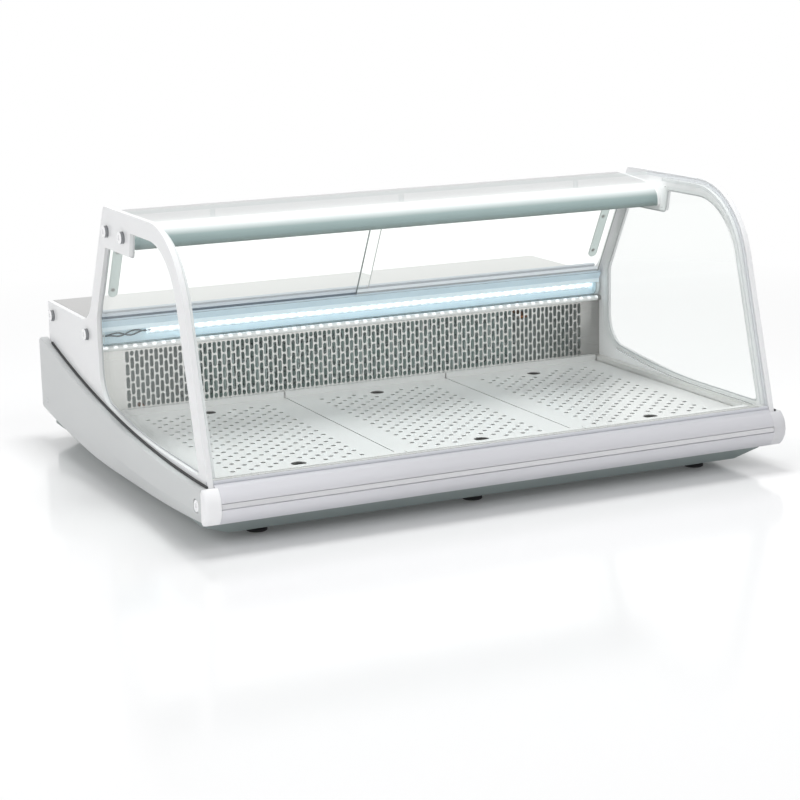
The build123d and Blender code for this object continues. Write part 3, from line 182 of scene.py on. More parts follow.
def add(tree, kind, inputs, **settings):
    """A new shader node with its settings and its inputs."""
    node = tree.nodes.new("ShaderNode" + kind)
    for name, value in settings.items():
        setattr(node, name, value)
    feed(tree, node, inputs)
    return node


def maths(tree, operation, *values):
    """The result of a maths node on numbers or sockets."""
    return add(tree, "Math", dict(enumerate(values)), operation=operation).outputs[0]


def ranged(tree, value, low, high, top=1.0):
    """A value drawn from the span low to high on to 0 to top."""
    inputs = {"Value": value, "From Min": low, "From Max": high, "To Max": top}
    return add(tree, "MapRange", inputs).outputs["Result"]


def mixed(tree, factor, first, last):
    """One colour that passes into another by a factor."""
    inputs = {"Factor": factor, "A": first, "B": last}
    return add(tree, "Mix", inputs, data_type="RGBA").outputs["Result"]


def own_place(tree):
    """The piece's own coordinates."""
    known = tree.nodes.get("Texture Coordinate")
    return (known or add(tree, "TexCoord", {})).outputs["Object"]


def own_axis(tree, axis):
    """The piece's own coordinate along an axis."""
    return add(tree, "SeparateXYZ", {"Vector": own_place(tree)}).outputs[axis]


def value_group(name, inputs, outputs):
    """A new shader node group with named float, colour or vector sockets, and its two end nodes."""
    group = bpy.data.node_groups.new(name, "ShaderNodeTree")
    for label, kind, default in inputs:
        socket = group.interface.new_socket(label, in_out="INPUT", socket_type=kind)
        if default is not None:
            socket.default_value = default
    for label, kind in outputs:
        group.interface.new_socket(label, in_out="OUTPUT", socket_type=kind)
    return group, group.nodes.new("NodeGroupInput"), group.nodes.new("NodeGroupOutput")


def noise(group, vector, scale, detail, stretch):
    """A noise texture on a stretched vector inside a group; returns its value socket."""
    mapping = add(group, "Mapping", {"Vector": vector, "Scale": stretch})
    inputs = {"Vector": mapping.outputs["Vector"], "Scale": scale, "Detail": detail}
    return add(group, "TexNoise", inputs).outputs["Fac"]


def around(group, value, middle, spread):
    """middle + (value - 0.5) * spread, where each is a socket or a number."""
    return maths(group, "MULTIPLY_ADD", maths(group, "SUBTRACT", value, 0.5), spread, middle)


def surface_group(name, fine, broad):
    """A group that varies a finish: fine noise for height and gloss, and broad noise too for shade."""
    inputs = [
        ("Vector", "NodeSocketVector", None),
        ("Colour", "NodeSocketColor", (0.5, 0.5, 0.5, 1.0)),
        ("Shade spread", "NodeSocketFloat", 0.05),
        ("Roughness", "NodeSocketFloat", 0.4),
        ("Roughness spread", "NodeSocketFloat", 0.1),
    ]
    outputs = [
        ("Colour", "NodeSocketColor"),
        ("Roughness", "NodeSocketFloat"),
        ("Height", "NodeSocketFloat"),
    ]
    group, start, end = value_group(name, inputs, outputs)
    given = start.outputs
    fine_value = noise(group, given["Vector"], *fine)
    broad_value = noise(group, given["Vector"], *broad)
    mean = maths(group, "MULTIPLY_ADD", fine_value, 0.5, maths(group, "MULTIPLY", broad_value, 0.5))
    shade = around(group, mean, 1.0, given["Shade spread"])
    shaded = add(group, "VectorMath", {0: given["Colour"], "Scale": shade}, operation="SCALE")
    rough = around(group, fine_value, given["Roughness"], given["Roughness spread"])
    feed(group, end, {"Colour": shaded.outputs[0], "Roughness": rough, "Height": fine_value})
    return group


finish_groups = {}


def make_groups():
    """The shared effects: brushed lines along X, paint's orange peel, and moulding grain."""
    # Scale, detail and stretch of the fine noise, then of the broad one
    even = (1.0, 1.0, 1.0)
    for effect, name, fine, broad in (
        ("brushed", "brushed_lines", (1.0, 3.0, (4.0, 900.0, 900.0)), (1.0, 2.0, (1.5, 14.0, 14.0))),
        ("painted", "orange_peel", (420.0, 2.0, even), (5.0, 3.0, even)),
        ("moulded", "moulding_grain", (1500.0, 2.0, even), (9.0, 3.0, even)),
    ):
        finish_groups[effect] = surface_group(name, fine, broad)


def bare(name):
    """A new material, its node tree and its shader."""
    material = bpy.data.materials.new(name)
    material.use_nodes = True
    return material, material.node_tree, material.node_tree.nodes["Principled BSDF"]


def finish(name, effect, colour, roughness, metallic=0.0, shade=0.05, gloss=0.1, bump=0.05,
           coat=0.0):
    """A procedural finish: one shared effect drives the colour, the roughness and a bump."""
    material, tree, shader = bare(name)
    inputs = {
        "Vector": own_place(tree),
        "Colour": colour,
        "Shade spread": shade,
        "Roughness": roughness,
        "Roughness spread": gloss,
    }
    varied = add(tree, "Group", inputs, node_tree=finish_groups[effect]).outputs
    relief = {"Strength": bump, "Distance": 0.0002, "Height": varied["Height"]}
    feed(tree, shader, {
        "Metallic": metallic,
        "Coat Weight": coat,
        "Base Color": varied["Colour"],
        "Roughness": varied["Roughness"],
        "Normal": add(tree, "Bump", relief).outputs["Normal"],
    })
    return material


def show_mix(tree, factor, first, last):
    """Let a material show one shader or, by a factor, another."""
    mix = add(tree, "MixShader", {"Fac": factor, 1: first, 2: last})
    feed(tree, tree.nodes["Material Output"], {"Surface": mix.outputs["Shader"]})


def clear(name, tint, roughness, bend, shade=0.02, coat=0.0):
    """A clear piece: light passes to what lies behind, and shadows stay faint.

    Only its tint drifts over the surface; bend is its index of refraction, low for thin panes.
    """
    material = finish(name, "painted", tint, roughness, shade=shade, coat=coat)
    tree = material.node_tree
    shader = tree.nodes["Principled BSDF"]
    for socket in ("Roughness", "Normal"):
        tree.links.remove(shader.inputs[socket].links[0])
    tree.nodes.remove(tree.nodes["Bump"])
    feed(tree, shader, {"Roughness": roughness, "Transmission Weight": 1.0, "IOR": bend})
    rays = add(tree, "LightPath", {})
    through = add(tree, "BsdfTransparent", {"Color": tint})
    show_mix(tree, rays.outputs["Is Shadow Ray"], shader.outputs["BSDF"], through.outputs["BSDF"])
    return material


def glowing(material, light, strength=1.0):
    """Let a finish give off light: a plain colour, or a socket that changes over the surface."""
    tree = material.node_tree
    inputs = {"Emission Color": light, "Emission Strength": strength}
    feed(tree, tree.nodes["Principled BSDF"], inputs)
    return material


def coloured(material, tone):
    """Let a finish's colour come from a socket that changes over the surface."""
    tree = material.node_tree
    feed(tree, tree.nodes["Group"], {"Colour": tone})
    return material


def canopy_with_painted_light(grey):
    """The canopy's satin grey with painted light: a flat grey top, a painted highlight on the nose, and
    a chin in painted shade that deepens to teal.

    The tone follows the height through a ramp, times the drift of the painted effect.
    """
    material = finish("canopy_with_painted_light", "painted", grey, 0.4, 0.0, 0.03, 0.06, 0.02)
    tree = material.node_tree
    feed(tree, tree.nodes["Principled BSDF"], {"Specular IOR Level": 0.15})
    chin, top = 0.395, 0.444
    ramp = add(tree, "ValToRGB", {"Fac": ranged(tree, own_axis(tree, "Z"), chin, top)})
    # Painted light by height: teal painted shade low on the chin, a white painted highlight on the
    # nose, the plain grey on top
    stops = (
        (0.00, (0.30, 0.36, 0.36)),
        (0.05, (0.19, 0.235, 0.225)),
        (0.13, (0.20, 0.26, 0.255)),
        (0.21, (0.235, 0.31, 0.31)),
        (0.40, (0.27, 0.345, 0.345)),
        (0.64, (0.74, 0.75, 0.755)),
        (0.785, (0.72, 0.725, 0.73)),
        (0.795, grey),
        (1.00, grey),
    )
    elements = ramp.color_ramp.elements
    for spot, _ in stops[1:-1]:
        elements.new(spot)
    for element, (_, tone) in zip(elements, stops):
        element.color = (*tone, 1.0)
    return coloured(material, ramp.outputs["Color"])


def blended(material, axis, start, end, first, last):
    """Let a finish's colour pass from one tone to another along an axis."""
    tree = material.node_tree
    return coloured(material, mixed(tree, ranged(tree, own_axis(tree, axis), start, end), first, last))


def painted_room_reflection(material, glow):
    """Let a clear face carry a faint painted reflection, given off as light towards its outer side, as
    a bright room would show in it.
    """
    tree = material.node_tree
    side = add(tree, "NewGeometry", {})
    return glowing(material, mixed(tree, side.outputs["Backfacing"], glow, BLACK))


def diode_pattern(tree, middle, width, least, swing):
    """A bright line at a height, as a bell curve of it, that swells by a wave at each diode."""
    offset = maths(tree, "MULTIPLY", maths(tree, "SUBTRACT", own_axis(tree, "Z"), middle), 1 / width)
    falling = maths(tree, "MULTIPLY", maths(tree, "MULTIPLY", offset, offset), -1.0)
    bell = maths(tree, "POWER", math.e, falling)
    along = maths(tree, "SUBTRACT", own_axis(tree, "X"), DIODE_X)
    wave = maths(tree, "COSINE", maths(tree, "MULTIPLY", along, 2 * math.pi * DIODES_PER_METRE))
    swell = maths(tree, "ADD", maths(tree, "MULTIPLY", wave, swing), least + swing)
    return maths(tree, "MULTIPLY", bell, swell)


def lamp_glow(light):
    """The lit film: it fades out above and below the diodes and swells a little at each of them."""
    material, tree, shader = bare("lamp_glow")
    feed(tree, shader, {
        "Base Color": (0.9, 0.95, 1.0),
        "Roughness": 0.5,
        "Alpha": diode_pattern(tree, 0.2303, 0.0046, 0.60, 0.17),
    })
    return glowing(material, light, 1.08)


def steel_with_painted_glints(light):
    """Polished steel with a painted highlight for each diode on the lip's upper front, given off as
    light.
    """
    material = finish("steel_with_painted_glints", "brushed", (0.86, 0.87, 0.865), 0.30, 0.2, 0.04, 0.05, 0.02)
    tree = material.node_tree
    painted_glints = diode_pattern(tree, 0.2078, 0.0019, -0.80, 0.88)
    return glowing(material, mixed(tree, painted_glints, BLACK, light))


def track_aluminium(front, rear, groove):
    """The door track's finish with painted light and shade: the lamp's blue painted on its front,
    painted shade on its crest and in its groove, and a faint painted glow.
    """
    material = finish("track_aluminium", "brushed", front, 0.36, 0.2, 0.06, 0.12, 0.05)
    tree = material.node_tree
    cos, sin = math.cos(DOOR_LEAN), math.sin(DOOR_LEAN)
    across, along = (
        add(tree, "VectorMath", {0: own_place(tree), 1: way}, operation="DOT_PRODUCT").outputs["Value"]
        for way in ((0.0, cos, sin), (0.0, -sin, cos))
    )
    mouth = TRACK_Y * cos + TRACK_Z * sin
    level = TRACK_Z * cos - TRACK_Y * sin
    behind = ranged(tree, across, mouth - 0.0041, mouth - 0.0037)
    inner = ranged(tree, across, mouth - 0.0106, mouth - 0.0102)
    ahead = ranged(tree, across, mouth, mouth - 0.0004)
    deep = ranged(tree, along, level - 0.0004, level - 0.0008)
    crest = ranged(tree, along, level - 0.0012, level - 0.0008, 0.75)
    # Painted shade: the dark groove tone in the front groove and along the crest
    sunk = maths(tree, "MULTIPLY", maths(tree, "MULTIPLY", inner, ahead), deep)
    crest_painted_shade = maths(tree, "MULTIPLY", crest, maths(tree, "SUBTRACT", 1.0, behind))
    tone = mixed(tree, sunk, mixed(tree, behind, front, rear), groove)
    coloured(material, mixed(tree, crest_painted_shade, tone, groove))
    # Painted light: a faint glow over the whole track
    return glowing(material, (0.055, 0.06, 0.075))


materials = {}


def make_materials():
    """Every finish of the case."""
    hue = colours()
    white = tuple(hue.frame_white)
    steel = tuple(hue.steel)
    lavender = tuple(hue.bumper_lavender)
    # Effect, colour, roughness, metallic, spread of shade and of gloss, bump, coat
    table = {
        "white_powder_coat": ("painted", white, 0.32, 0.0, 0.03, 0.10, 0.06, 0.25),
        "silver_moulding": ("moulded", tuple(hue.panel_silver), 0.42, 0.25, 0.05, 0.10, 0.05, 0.1),
        "lavender_aluminium": ("brushed", lavender, 0.36, 0.35, 0.06, 0.12, 0.04, 0.0),
        "strip_grey": ("moulded", (0.72, 0.72, 0.735), 0.40, 0.2, 0.05, 0.1, 0.05, 0.0),
        "lamp_aluminium": ("brushed", (0.70, 0.86, 0.95), 0.40, 0.1, 0.06, 0.12, 0.05, 0.0),
        "base_moulding": ("moulded", tuple(hue.base_grey), 0.55, 0.0, 0.12, 0.15, 0.12, 0.0),
        "stainless_sheet": ("brushed", steel, 0.30, 0.85, 0.08, 0.14, 0.05, 0.0),
        "grille_steel": ("brushed", steel, 0.30, 0.85, 0.08, 0.14, 0.05, 0.0),
        "deck_steel": ("brushed", (0.68, 0.685, 0.68), 0.38, 0.35, 0.08, 0.14, 0.05, 0.0),
        "worktop_steel": ("brushed", (0.52, 0.518, 0.512), 0.45, 0.25, 0.07, 0.14, 0.05, 0.0),
        "white_silicone": ("moulded", (0.62, 0.635, 0.64), 0.5, 0.0, 0.05, 0.1, 0.05, 0.0),
        "gasket_grey": ("moulded", (0.60, 0.61, 0.62), 0.6, 0.0, 0.12, 0.1, 0.08, 0.0),
        "duct_grey": ("moulded", (0.40, 0.46, 0.455), 0.6, 0.0, 0.15, 0.1, 0.1, 0.0),
        "rubber_black": ("moulded", (0.034, 0.034, 0.036), 0.72, 0.0, 0.3, 0.15, 0.15, 0.0),
        "seal_grey": ("moulded", (0.060, 0.061, 0.062), 0.7, 0.0, 0.2, 0.15, 0.12, 0.0),
        "polished_chrome": ("painted", (0.90, 0.90, 0.91), 0.22, 1.0, 0.03, 0.03, 0.01, 0.0),
        # Bolt collars: dark steel as painted shade on the heads' sides and under them
        "painted_shade_steel": ("painted", (0.30, 0.31, 0.32), 0.25, 0.9, 0.1, 0.08, 0.03, 0.0),
        "zinc_plate": ("painted", (0.62, 0.63, 0.65), 0.28, 0.9, 0.1, 0.1, 0.05, 0.0),
        "drawn_copper": ("painted", (0.62, 0.28, 0.15), 0.30, 1.0, 0.15, 0.15, 0.05, 0.0),
        "coated_fin": ("brushed", (0.78, 0.86, 0.85), 0.5, 0.2, 0.2, 0.15, 0.08, 0.0),
        "mill_fin": ("brushed", (0.70, 0.71, 0.73), 0.35, 0.9, 0.1, 0.15, 0.08, 0.0),
        "coated_pipe": ("painted", (0.30, 0.33, 0.33), 0.45, 0.3, 0.2, 0.15, 0.05, 0.0),
        "black_moulding": ("moulded", (0.030, 0.031, 0.034), 0.48, 0.0, 0.25, 0.12, 0.12, 0.0),
        "key_grey": ("moulded", (0.20, 0.21, 0.22), 0.45, 0.0, 0.12, 0.1, 0.1, 0.0),
        "motor_enamel": ("painted", (0.045, 0.046, 0.050), 0.38, 0.2, 0.2, 0.1, 0.08, 0.1),
        "compressor_enamel": ("painted", (0.018, 0.018, 0.019), 0.30, 0.0, 0.3, 0.1, 0.1, 0.2),
        "rigid_foam": ("moulded", (0.78, 0.72, 0.50), 0.9, 0.0, 0.15, 0.1, 0.4, 0.0),
        "drain_white": ("moulded", (0.74, 0.74, 0.72), 0.5, 0.0, 0.05, 0.1, 0.08, 0.0),
        "lamp_cap": ("moulded", (0.74, 0.82, 0.84), 0.35, 0.0, 0.05, 0.1, 0.05, 0.1),
        "cut_edge": ("painted", (0.64, 0.655, 0.68), 0.4, 0.0, 0.06, 0.1, 0.05, 0.0),
        # Ends of the doors' glass: one finish in a shaded and a lit copy, as painted shade and painted
        # light
        "painted_shaded_door_end": ("painted", (0.25, 0.29, 0.29), 0.35, 0.0, 0.08, 0.1, 0.05, 0.0),
        "painted_lit_door_end": ("painted", (0.66, 0.68, 0.68), 0.35, 0.0, 0.06, 0.1, 0.05, 0.0),
        "sill_lavender": ("brushed", (0.60, 0.615, 0.655), 0.36, 0.35, 0.06, 0.12, 0.04, 0.0),
        # The bumper's two end caps: a lit and a shaded copy of one moulding, as painted light and
        # painted shade
        "painted_lit_cap": ("moulded", (0.97, 0.97, 0.98), 0.40, 0.0, 0.04, 0.1, 0.05, 0.1),
        "painted_shaded_cap": ("moulded", (0.67, 0.67, 0.69), 0.40, 0.0, 0.04, 0.1, 0.05, 0.1),
        "lead_sheath": ("moulded", (0.12, 0.15, 0.165), 0.6, 0.0, 0.15, 0.1, 0.08, 0.0),
        "board_white": ("painted", (0.50, 0.57, 0.61), 0.4, 0.0, 0.04, 0.1, 0.03, 0.0),
        "display_glass": ("painted", (0.010, 0.012, 0.016), 0.08, 0.0, 0.2, 0.03, 0.01, 0.6),
    }
    for name, values in table.items():
        materials[name] = finish(name, *values)
    # Painted light and shade: the bumper is painted lightest at its left end, and the grille is painted
    # darker where the lamp ends
    pale = tuple(min(1.15 * part, 1.0) for part in lavender)
    blended(materials["lavender_aluminium"], "X", -0.46, -0.10, pale, lavender)
    dim = tuple(0.50 * part for part in steel)
    blended(materials["grille_steel"], "X", 0.34, 0.45, steel, dim)
    # Painted light: a glow on the lamp's back for what the diodes spread over it, and a faint glow on
    # the fins and the partition behind the slots
    glowing(materials["lamp_aluminium"], (0.13, 0.12, 0.105))
    glowing(materials["coated_fin"], (0.018, 0.025, 0.023))
    glowing(materials["duct_grey"], (0.022, 0.028, 0.026))
    materials["canopy_with_painted_light"] = canopy_with_painted_light(tuple(hue.canopy_grey))
    tint = tuple(hue.glass_tint)
    door_tint = (0.975, 0.99, 0.985)
    # Tint, roughness, index of refraction, spread of shade, coat
    for name, values in {
        "clear_glass": (tint, 0.0, 1.0, 0.02, 0.25),
        "ground_edge": ((0.84, 0.90, 0.885), 0.2, 1.0, 0.05),
        "side_glass": (tint, 0.0, 1.08),
        "door_glass": (door_tint, 0.0, 1.14),
        "door_painted_reflection": (door_tint, 0.0, 1.14),
        "lamp_clear": (tuple(hue.lamp_tint), 0.12, 1.08, 0.05),
        "clear_silicone": ((0.90, 0.93, 0.93), 0.25, 1.2, 0.05),
        "handle_clear": ((0.36, 0.43, 0.42), 0.30, 1.25, 0.06),
    }.items():
        materials[name] = clear(name, *values)
    # Painted reflection: the doors' front faces glow faintly
    painted_room_reflection(materials["door_painted_reflection"], (0.20, 0.20, 0.19))
    light = tuple(hue.lamp_white)
    diode = finish("diode_glow", "painted", (0.9, 0.9, 0.8), 0.4)
    materials["diode_glow"] = glowing(diode, light, 4.0)
    materials["lamp_glow"] = lamp_glow(light)
    materials["steel_with_painted_glints"] = steel_with_painted_glints(light)
    # The track: the lamp's blue painted on its front, a dull rear, and a dark groove tone as painted
    # shade
    materials["track_aluminium"] = track_aluminium(
        (0.64, 0.80, 0.88), (0.38, 0.42, 0.45), (0.20, 0.25, 0.28)
    )


def paint(obj, name):
    """Give an object one finish."""
    obj.data.materials.clear()
    obj.data.materials.append(materials[name])


def paint_solids(table):
    """Give solids that stay as they are their finishes, node by node."""
    for node, name in table.items():
        paint(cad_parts[node], name)


def face_values(mesh, kind):
    """Every face's centre or normal, as rows of three."""
    values = np.empty(3 * len(mesh.polygons))
    mesh.polygons.foreach_get(kind, values)
    return values.reshape(-1, 3)


def paint_faces(obj, slots, *names):
    """Give a piece more finishes, and each face the slot of its own one."""
    for name in names:
        obj.data.materials.append(materials[name])
    obj.data.polygons.foreach_set("material_index", slots.astype(np.int32))


def shade_smooth(mesh):
    """Let every face shade smooth."""
    mesh.polygons.foreach_set("use_smooth", np.ones(len(mesh.polygons), bool))


def place(mesh, name, body, material, replaced=()):
    """Link a finished mesh as a piece that rides on a body, and give it its finish."""
    obj = bpy.data.objects.new(name, mesh)
    bpy.context.scene.collection.objects.link(obj)
    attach(obj, body)
    if replaced:
        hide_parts(*replaced)
    paint(obj, material)
    return obj


def grid_faces(rows, columns, wrap_rows, wrap_columns, start=0):
    """Corner numbers of the quads of a grid of points, optionally closed round either way."""
    row = np.arange(rows if wrap_rows else rows - 1)
    column = np.arange(columns if wrap_columns else columns - 1)
    i, j = np.meshgrid(row, column, indexing="ij")
    k = (i + 1) % rows
    m = (j + 1) % columns
    quads = np.stack(
        [i * columns + j, k * columns + j, k * columns + m, i * columns + m], axis=-1
    )
    return quads.reshape(-1, 4) + start


def grid_mesh(name, grids, wrap_rows=False, wrap_columns=False, fill_ends=False, degrees=35.0,
              back=False):
    """A mesh of one or more grids of points, each (rows, columns, 3), joined where points meet.

    fill_ends closes the first and the last row with one face each, for a section carried along a
    path, and back closes a grid's whole rim with one face; poles close because their points meet.
    Faces that meet at more than the given degrees keep a sharp edge.
    """
    points = []
    faces = []
    count = 0
    for grid in grids:
        rows, columns = grid.shape[:2]
        points.append(grid.reshape(-1, 3))
        faces.extend(grid_faces(rows, columns, wrap_rows, wrap_columns, count).tolist())
        if fill_ends:
            faces.append(list(range(count, count + columns)))
            last = count + (rows - 1) * columns
            faces.append(list(range(last, last + columns)))
        if back:
            number = np.arange(rows * columns).reshape(rows, columns) + count
            rim = [number[0], number[1:, -1], number[-1, -2::-1], number[-2:0:-1, 0]]
            faces.append(np.concatenate(rim).tolist())
        count += rows * columns
    mesh = bpy.data.meshes.new(name)
    mesh.from_pydata(np.concatenate(points).tolist(), [], faces)
    work = bmesh.new()
    work.from_mesh(mesh)
    bmesh.ops.remove_doubles(work, verts=work.verts, dist=1e-6)
    bmesh.ops.dissolve_degenerate(work, dist=1e-7, edges=work.edges)
    bmesh.ops.recalc_face_normals(work, faces=work.faces)
    work.to_mesh(mesh)
    work.free()
    shade_smooth(mesh)
    mesh.set_sharp_from_angle(angle=math.radians(degrees))
    return mesh


def piece(name, grids, body, slot, material, replaced=(), **closing):
    """Make a mesh of grids of points and place it as a piece."""
    return place(grid_mesh(name, grids, **closing), name, body, material, replaced)


def softened(node, name, radius, material, body="carcass"):
    """A copy of a solid with its sharp edges rounded, which stands for that solid."""
    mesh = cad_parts[node].data.copy()
    mesh.name = name
    work = bmesh.new()
    work.from_mesh(mesh)
    bmesh.ops.remove_doubles(work, verts=work.verts, dist=1e-6)
    bmesh.ops.dissolve_limit(
        work, angle_limit=math.radians(0.05), verts=work.verts, edges=work.edges
    )
    work.to_mesh(mesh)
    work.free()
    shade_smooth(mesh)
    obj = place(mesh, name, body, material, (node,))
    bevel = obj.modifiers.new("edge_round", "BEVEL")
    bevel.width = radius
    bevel.segments = 2
    bevel.limit_method = "ANGLE"
    bevel.angle_limit = math.radians(32)
    bevel.use_clamp_overlap = False
    keep_flat(obj)


def keep_flat(obj):
    """Let the large faces keep their own normals, so that only the narrow rounds beside them bend."""
    flat = obj.modifiers.new("flat_faces", "WEIGHTED_NORMAL")
    flat.weight = 100


def rounded_path(corners, radii, steps):
    """A closed path round corners in a plane, each cut by an arc of its own radius.

    At a corner with unit arms a and b towards its neighbours and half-angle h, the arc's centre lies
    r / sin(h) along their bisector, and it touches the arms r / tan(h) from the corner.  The arc is
    swept as direction vectors turned evenly from the first touching point to the second.
    """
    corner = np.asarray(corners, float)
    radius = np.asarray(radii, float)[:, None]
    to_last = np.roll(corner, 1, axis=0) - corner
    to_next = np.roll(corner, -1, axis=0) - corner
    to_last /= np.linalg.norm(to_last, axis=1, keepdims=True)
    to_next /= np.linalg.norm(to_next, axis=1, keepdims=True)
    half = np.arccos(np.clip((to_last * to_next).sum(1, keepdims=True), -1, 1)) / 2
    bisector = to_last + to_next
    bisector /= np.linalg.norm(bisector, axis=1, keepdims=True)
    centre = corner + bisector * radius / np.sin(half)
    first = corner + to_last * radius / np.tan(half) - centre
    last = corner + to_next * radius / np.tan(half) - centre
    begin = np.arctan2(first[:, 1], first[:, 0])[:, None]
    finish_angle = np.arctan2(last[:, 1], last[:, 0])[:, None]
    turn = (finish_angle - begin + np.pi) % (2 * np.pi) - np.pi
    angle = begin + turn * np.linspace(0, 1, steps)
    arc = np.stack([np.cos(angle), np.sin(angle)], axis=-1) * radius[:, None]
    return (centre[:, None] + arc).reshape(-1, 2)


def along_x(section, stations):
    """A section of (y, z) points carried along X: one row of points for each station."""
    x = np.repeat(np.asarray(stations, float)[:, None], len(section), axis=1)
    yz = np.broadcast_to(section, (len(stations), *section.shape))
    return np.concatenate([x[..., None], yz], axis=-1)


def revolved(profile, centre, axis, steps=40, side=None):
    """A profile of (radius, height) points turned round an axis through a centre.

    Each row is centre + height * axis + radius * (cos * u + sin * v), for u and v square to the
    axis; side may scale the radius by angle, row by row.
    """
    axis = np.asarray(axis, float)
    u = np.cross(axis, [0.0, 0.0, 1.0] if abs(axis[2]) < 0.9 else [1.0, 0.0, 0.0])
    u /= np.linalg.norm(u)
    v = np.cross(axis, u)
    angle = np.linspace(0, 2 * np.pi, steps, endpoint=False)
    ring = np.cos(angle)[:, None] * u + np.sin(angle)[:, None] * v
    radius = np.asarray(profile, float)[:, 0][:, None]
    if side is not None:
        radius = radius * side(angle)
    height = np.asarray(profile, float)[:, 1][:, None, None]
    return np.asarray(centre, float) + height * axis + radius[..., None] * ring


def tube(points, radius, steps=12):
    """A round tube along a smooth path: circles square to the path's own direction."""
    line = np.asarray(points, float)
    ahead = np.gradient(line, axis=0)
    ahead /= np.linalg.norm(ahead, axis=1, keepdims=True)
    u = np.cross(ahead, [0.0, 0.0, 1.0])
    u /= np.linalg.norm(u, axis=1, keepdims=True)
    v = np.cross(ahead, u)
    angle = np.linspace(0, 2 * np.pi, steps, endpoint=False)[None, :, None]
    return line[:, None] + radius * (np.cos(angle) * u[:, None] + np.sin(angle) * v[:, None])


def front_edge(inset, height):
    """Depth of the line that lies inside the frames' front edge by an inset, at a height."""
    return FOOT_Y + (height - BUMPER_TOP) * math.tan(FRONT_LEAN) + inset / math.cos(FRONT_LEAN)


def door_point(across, up):
    """A point on the doors' plane, which leans forward from the lower track's mouth."""
    return (
        TRACK_Y + across * math.cos(DOOR_LEAN) - up * math.sin(DOOR_LEAN),
        TRACK_Z + across * math.sin(DOOR_LEAN) + up * math.cos(DOOR_LEAN),
    )


def bent_section(near, far, low, end, steps=40):
    """The bent band between two insets from the frames' front edge, as closed (y, z) points."""
    tiny = 0.0004
    corners = [
        (front_edge(near, low), low),
        (front_edge(near, CASE_TOP - near), CASE_TOP - near),
        (end, CASE_TOP - near),
        (end, CASE_TOP - far),
        (front_edge(far, CASE_TOP - far), CASE_TOP - far),
        (front_edge(far, low), low),
    ]
    radii = [tiny, FRONT_BEND - near, tiny, tiny, FRONT_BEND - far, tiny]
    return rounded_path(corners, radii, steps)


def window_path(notch_round=0.006):
    """The outline of an end frame's window, as closed (y, z) points."""
    bar, foot, head, notch, rear = 0.033, 0.106, 0.426, 0.388, 0.106
    corners = [
        (front_edge(bar, foot), foot),
        (front_edge(bar, head), head),
        (-0.0947, head),
        (-0.0867, notch),
        (0.0373, notch),
        (rear, 0.26397),
        (rear, 0.132),
        (-0.080, foot),
    ]
    radii = [0.006, FRONT_BEND - bar, 0.002, notch_round, 0.006, 0.028, 0.055, 1.9]
    return rounded_path(corners, radii, 24)


def moved_out(path, distance):
    """A clockwise closed path shifted outwards, each point along the normal of its neighbours."""
    ahead = np.roll(path, -1, axis=0) - np.roll(path, 1, axis=0)
    length = np.linalg.norm(ahead, axis=1, keepdims=True)
    normal = np.stack([-ahead[:, 1], ahead[:, 0]], axis=-1) / np.maximum(length, 1e-9)
    return path + normal * distance


def plate(outline, faces):
    """A plate between faces across X: one row of the outline for each (x, inset from its edge)."""
    rows = [
        np.concatenate([np.full((len(outline), 1), x), moved_out(outline, -inset)], axis=1)
        for x, inset in faces
    ]
    return np.stack(rows)


def arc_through(first, middle, last):
    """Centre and radius of the circle through three points in a plane."""
    a, b, c = (np.asarray(p, float) for p in (first, middle, last))
    rows = 2 * np.array([b - a, c - a])
    centre = np.linalg.solve(rows, np.array([b @ b - a @ a, c @ c - a @ a]))
    return centre, np.linalg.norm(a - centre)


def eased(value, low, high):
    """0 below low, 1 above high, and a smooth cubic step between them."""
    t = np.clip((value - low) / (high - low), 0, 1)
    return t * t * (3 - 2 * t)


class CASE_OT_frames(bpy.types.Operator):
    """Round the edges of the white end frames and line their windows with a gasket"""

    bl_idname = "case.end_frames"
    bl_label = "End frames"

    def execute(self, context):
        size = sizes()
        for side, _ in SIDES:
            softened(
                f"end_frame_{side}", f"frame_{side}", size.plate_round,
                "white_powder_coat",
            )
        # The gasket: an ellipse carried round the window, from its edge inwards
        path = window_path()
        inward = moved_out(path, -1.0) - path
        angle = np.linspace(0, 2 * np.pi, 12, endpoint=False)
        across = size.gasket_depth * (0.5 + 0.5 * np.cos(angle))
        thick = 0.0013 * np.sin(angle)
        yz = path[:, None] + inward[:, None] * across[None, :, None]
        grids = []
        for _, sign in SIDES:
            x = np.broadcast_to(sign * (FRAME_IN + 0.0016 + thick), yz.shape[:2])
            grids.append(np.concatenate([x[..., None], yz], axis=-1))
        piece(
            "window_gaskets", grids, "carcass", "foot_rubber", "gasket_grey",
            wrap_rows=True, wrap_columns=True, degrees=60,
        )
        return {"FINISHED"}


